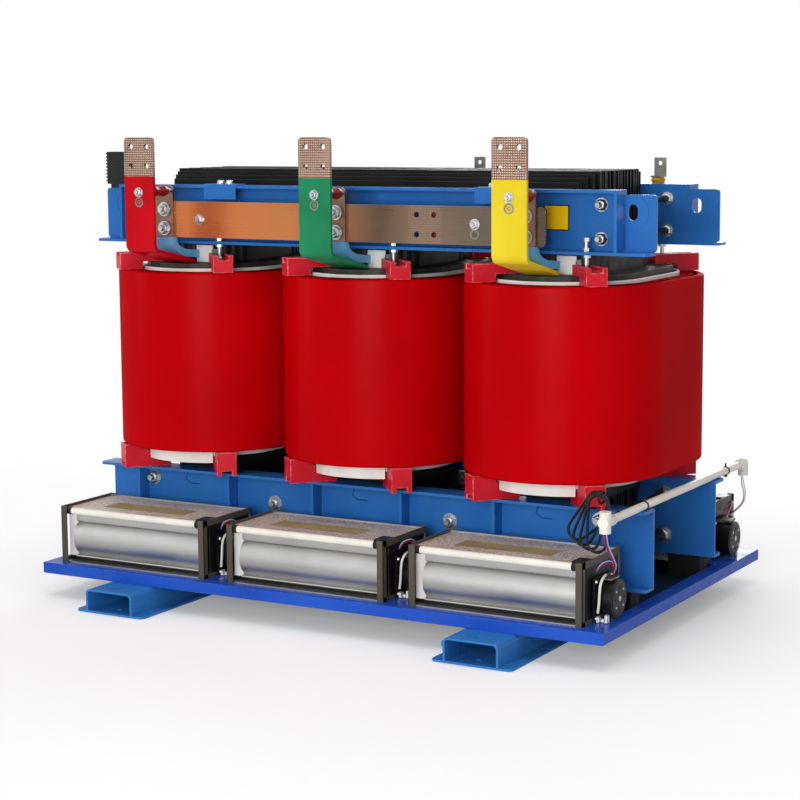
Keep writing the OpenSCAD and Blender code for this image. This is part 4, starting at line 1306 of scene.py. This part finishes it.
def build_blower(name, x, back):
    """One blower: posts and end sheets, the black box of painted shade and the scroll between them, its top
    and its tube.
    """
    bm = bmesh.new()
    for sx in (-1, 1):
        post_x = sorted((sx * HALF_LEN, sx * INNER))
        end_x = sorted((sx * HALF_LEN, sx * (HALF_LEN - END_SHEET)))
        for y in (0, BLOWER_DEEP - POST_SHEET):
            add_box(bm, (post_x[0], y, 0), (post_x[1], y + POST_SHEET, BLOWER_TALL), POST_PAINT)
        for deep, low, high in END_STRIPS:
            add_box(bm, (end_x[0], 0, low), (end_x[1], deep, high), POST_PAINT)
    for low, high, finish in SHADE_BOX_AND_BACK_SHEET:
        add_box(bm, low, high, finish)
    add_strip(bm, SCROLL, SCROLL_LEFT - INNER, INNER + SCROLL_RIGHT, SHEET)
    for low, high, finish in BOXES_ROUND:
        add_box(bm, low, high, finish)
    for x0, x1, r, finish in TUBES:
        add_rod(bm, (x0, TUBE_Y, TUBE_Z), (x1, TUBE_Y, TUBE_Z), r, 24, None, finish)
    for low, high, finish in BOXES_ON_TOP:
        add_box(bm, low, high, finish)
    place_blower(bm, x, back)
    piece(f"{name}_built", bm, BLOWER_FINISHES, 0.5, [name])


for phase, x in zip(phases, phase_x):
    build_blower(f"blower_front_{phase}", x + blower_shift, False)
    build_blower(f"blower_back_{phase}", x + blower_shift, True)
print(piece_count, "pieces so far")

# %% [markdown]
# ## Blower motors
# A small shaded-pole motor is screwed to the right end of each blower: a black plate, a body, a round cover
# with a ring of small vents, a terminal tab on top and white connectors at its foot. The vents are thin
# discs, and every other one is black as painted shade for its hole. Stepped rods make the turned shapes.

# %% Blower motors
MOTOR_HALF = 58
MOTOR_PLATE = 6
MOTOR_FACE = 51
MOTOR_STEPS = ((MOTOR_PLATE, 22, 44, 44), (22, 48, 50, 50), (48, MOTOR_FACE, 46, 42))
HUB_R = 7
VENTS, VENT_RING, VENT_R = 8, 30, 3.5
SCREW_IN = 10
CONNECTORS = ((8, -52, 16), (18, -44, 10), (30, -50, 22), (24, -34, 12))
MOTOR_FINISHES = [black_nylon, plated_zinc, black_rubber, tinned_strip, white_nylon]
BODY, ZINC, VENT_SHADE, TAB, CONNECTOR = range(len(MOTOR_FINISHES))


def build_motor(name, x, back):
    """A motor on the right end of a blower."""
    middle_y = BLOWER_DEEP / 2
    centre = Vector((HALF_LEN, middle_y, MOTOR_HALF))
    bm = bmesh.new()
    add_box(bm, (HALF_LEN, middle_y - MOTOR_HALF, 2),
            (HALF_LEN + MOTOR_PLATE, middle_y + MOTOR_HALF, 2 * MOTOR_HALF), BODY)
    for x0, x1, r0, r1 in MOTOR_STEPS:
        add_rod(bm, centre + RIGHT * x0, centre + RIGHT * x1, r0, 48, r1, BODY)
    add_rod(bm, centre + RIGHT * MOTOR_FACE, centre + RIGHT * (MOTOR_FACE + 1), HUB_R, 24, None, ZINC)
    # Every other vent is a black disc: painted shade that stands for its hole.
    for i in range(VENTS):
        a = math.tau * i / VENTS
        vent = centre + Vector((MOTOR_FACE, VENT_RING * math.cos(a), VENT_RING * math.sin(a)))
        add_rod(bm, vent, vent + RIGHT * 0.8, VENT_R, 16, None, ZINC if i % 2 else VENT_SHADE)
    for sy in (-1, 1):
        for sz in (-1, 1):
            screw = centre + Vector((MOTOR_PLATE, sy * (MOTOR_HALF - SCREW_IN), sz * (MOTOR_HALF - SCREW_IN)))
            add_rod(bm, screw, screw + RIGHT * 4, 5.5, 18, 4, ZINC)
    tab_z = 2 * MOTOR_HALF - 8
    add_box(bm, (HALF_LEN + 14, middle_y - 26, tab_z), (HALF_LEN + 40, middle_y + 22, tab_z + 6), TAB)
    for dx, dy, high in CONNECTORS:
        foot = Vector((HALF_LEN + dx, middle_y + dy, 0.5))
        add_box(bm, foot, foot + Vector((9, 12, high - 0.5)), CONNECTOR)
    place_blower(bm, x, back)
    piece(f"{name}_built", bm, MOTOR_FINISHES, 0.8, [name])


for phase, x in zip(phases, phase_x):
    build_motor(f"motor_front_{phase}", x + blower_shift, False)
    build_motor(f"motor_back_{phase}", x + blower_shift, True)
print(piece_count, "pieces so far")

# %% [markdown]
# ## High-voltage posts and vented box
# Amber post insulators at the back carry the high-voltage flags. Their round sheds lengthen the path that
# a leakage current would take. A small black box with vent ribs stands on the left end of the front
# clamp.

# %% Posts and box
post_low, post_high = corners("hv_insulators")
post_x = (post_low.x + post_high.x) / 2
post_y = (post_low.y + post_high.y) / 2
SHEDS = 5
shed = (post_high.z - post_low.z) / SHEDS
SHED_STEPS = ((0, 0.5, 16, 16), (0.5, 0.8, 16, 21), (0.8, 1, 21, 16))
bm = bmesh.new()
for x in phase_x:
    for i in range(SHEDS):
        at = Vector((x + post_x, post_y, post_low.z + i * shed))
        for z0, z1, r0, r1 in SHED_STEPS:
            add_rod(bm, at + UP * z0 * shed, at + UP * z1 * shed, r0, 32, r1)
piece("post_insulators", bm, [amber_epoxy], 0, ["hv_insulators"])

box_low, box_high = corners("terminal_box")
BOX_FOOT = 12
BOX_RIBS, RIB_PITCH = 9, 10
bm = bmesh.new()
add_box(bm, (box_low.x, -web_y, box_low.z), (box_high.x, CLAMP_PLATE - web_y, box_low.z + BOX_FOOT))
add_box(bm, box_low + Vector((2, 2, BOX_FOOT)), box_high - Vector((2, 2, 0)))
for i in range(BOX_RIBS):
    z = box_low.z + 20 + i * RIB_PITCH
    add_box(bm, (box_low.x, box_low.y, z), (box_high.x, box_high.y, z + RIB_PITCH / 2))
piece("vented_box", bm, [black_nylon], 0.6, ["terminal_box"])
print(piece_count, "pieces in all")

# %% [markdown]
# ## Floor
# A plain pale floor fades into the white background, so no horizon shows. A white floor under soft light
# renders a little grey, so camera rays see it lifted by a small emission, while the light it throws on
# the machine stays as it is. The shadow is kept.

# %% Floor
FLOOR_R = 9
FLOOR_DROP = 0.0005
FLOOR_LIFT = 0.22
FADE_FROM, FADE_TO = 1.2, 3.4
floor_mesh = bpy.data.meshes.new("floor")
floor_bm = bmesh.new()
bmesh.ops.create_circle(floor_bm, cap_ends=True, segments=96, radius=FLOOR_R)
floor_bm.to_mesh(floor_mesh)
floor_bm.free()
floor = bpy.data.objects.new("floor", floor_mesh)
floor.location.z = -FLOOR_DROP
bpy.context.scene.collection.objects.link(floor)

# Matt white wall paint: an even white that only shows the shadow.
floor_constants = {"Roughness": 0.9, "Emission Color": (1, 1, 1, 1)}
floor_paint, tree, shader, place = start("floor_matt_white_paint", floor_constants)
white_tone = uneven(tree, place, 400, 0, 1)
camera_ray = add(tree, "LightPath", {}, {}, "Is Camera Ray")
connect(tree, shader, {
    "Base Color": add(tree, "Mix", MIX_COLOURS, {0: white_tone, FIRST: "#F0F0F0", SECOND: "#F4F4F4"}, MIXED),
    "Emission Strength": add(tree, "Math", {"operation": "MULTIPLY"}, {0: camera_ray, 1: FLOOR_LIFT})})
away = add(tree, "VectorMath", {"operation": "LENGTH"}, {0: place}, "Value")
fade = add(tree, "MapRange", {"interpolation_type": "SMOOTHSTEP"},
           {"Value": away, "From Min": FADE_FROM, "From Max": FADE_TO})
clear = add(tree, "BsdfTransparent", {}, {})
faded = add(tree, "MixShader", {}, {0: fade, 1: shader.outputs[0], 2: clear})
tree.links.new(faded, tree.nodes["Material Output"].inputs[0])
floor_mesh.materials.append(floor_paint)
print("floor fades from", FADE_FROM, "to", FADE_TO, "m")

# %% [markdown]
# ## Light
# The photograph has even frontal studio light. A broad soft lamp stands in front, a little to the right,
# with a weaker one at the left, a faint one at the right and one above. A lamp behind lights the back row
# for the other views. The world is white where the camera or a mirror sees it, and dimmer as a light, so
# colours stay as written.

# %% Lamps and world


def soft_lamp(name, at, look_at, size, watts):
    """A rectangular softbox; places and sizes are in metres."""
    lamp = bpy.data.lights.new(name, "AREA")
    lamp.shape = "RECTANGLE"
    lamp.size, lamp.size_y = size
    lamp.energy = watts
    obj = bpy.data.objects.new(name, lamp)
    at, look_at = Vector(at), Vector(look_at)
    obj.matrix_world = Matrix.Translation(at) @ (look_at - at).to_track_quat("-Z", "Y").to_matrix().to_4x4()
    bpy.context.scene.collection.objects.link(obj)


soft_lamp("front_softbox", (1.4, -5.8, 1.4), (0, 0, 0.55), (3.0, 2.2), 178)
soft_lamp("left_softbox", (-5.2, -2.6, 1.8), (0, 0, 0.55), (1.4, 2.6), 44)
soft_lamp("right_softbox", (5.0, -1.6, 1.8), (0, 0, 0.6), (1.2, 2.4), 8)
soft_lamp("top_softbox", (0, -0.6, 4.6), (0, 0, 0.6), (3.6, 2.6), 45)
soft_lamp("back_softbox", (-1.2, 5.4, 2.2), (0, 0, 0.6), (3.2, 2.4), 130)

AMBIENT = 0.4
world = bpy.data.worlds.new("studio")
bpy.context.scene.world = world
world.use_nodes = True
tree = world.node_tree
tree.nodes.clear()
rays = [add(tree, "LightPath", {}, {}, f"Is {kind} Ray") for kind in ("Camera", "Glossy", "Transmission")]
seen = add(tree, "Math", {"operation": "MAXIMUM"}, {0: rays[0], 1: rays[1]})
seen = add(tree, "Math", {"operation": "MAXIMUM"}, {0: seen, 1: rays[2]})
white = add(tree, "Background", {}, {"Color": (1, 1, 1, 1), "Strength": 1.0})
soft = add(tree, "Background", {}, {"Color": (1, 1, 1, 1), "Strength": AMBIENT})
mixed = add(tree, "MixShader", {}, {0: seen, 1: soft, 2: white})
tree.links.new(mixed, tree.nodes.new("ShaderNodeOutputWorld").inputs[0])
bpy.context.scene.view_settings.view_transform = "Standard"
print("lamps", [lamp.name for lamp in bpy.data.lights])
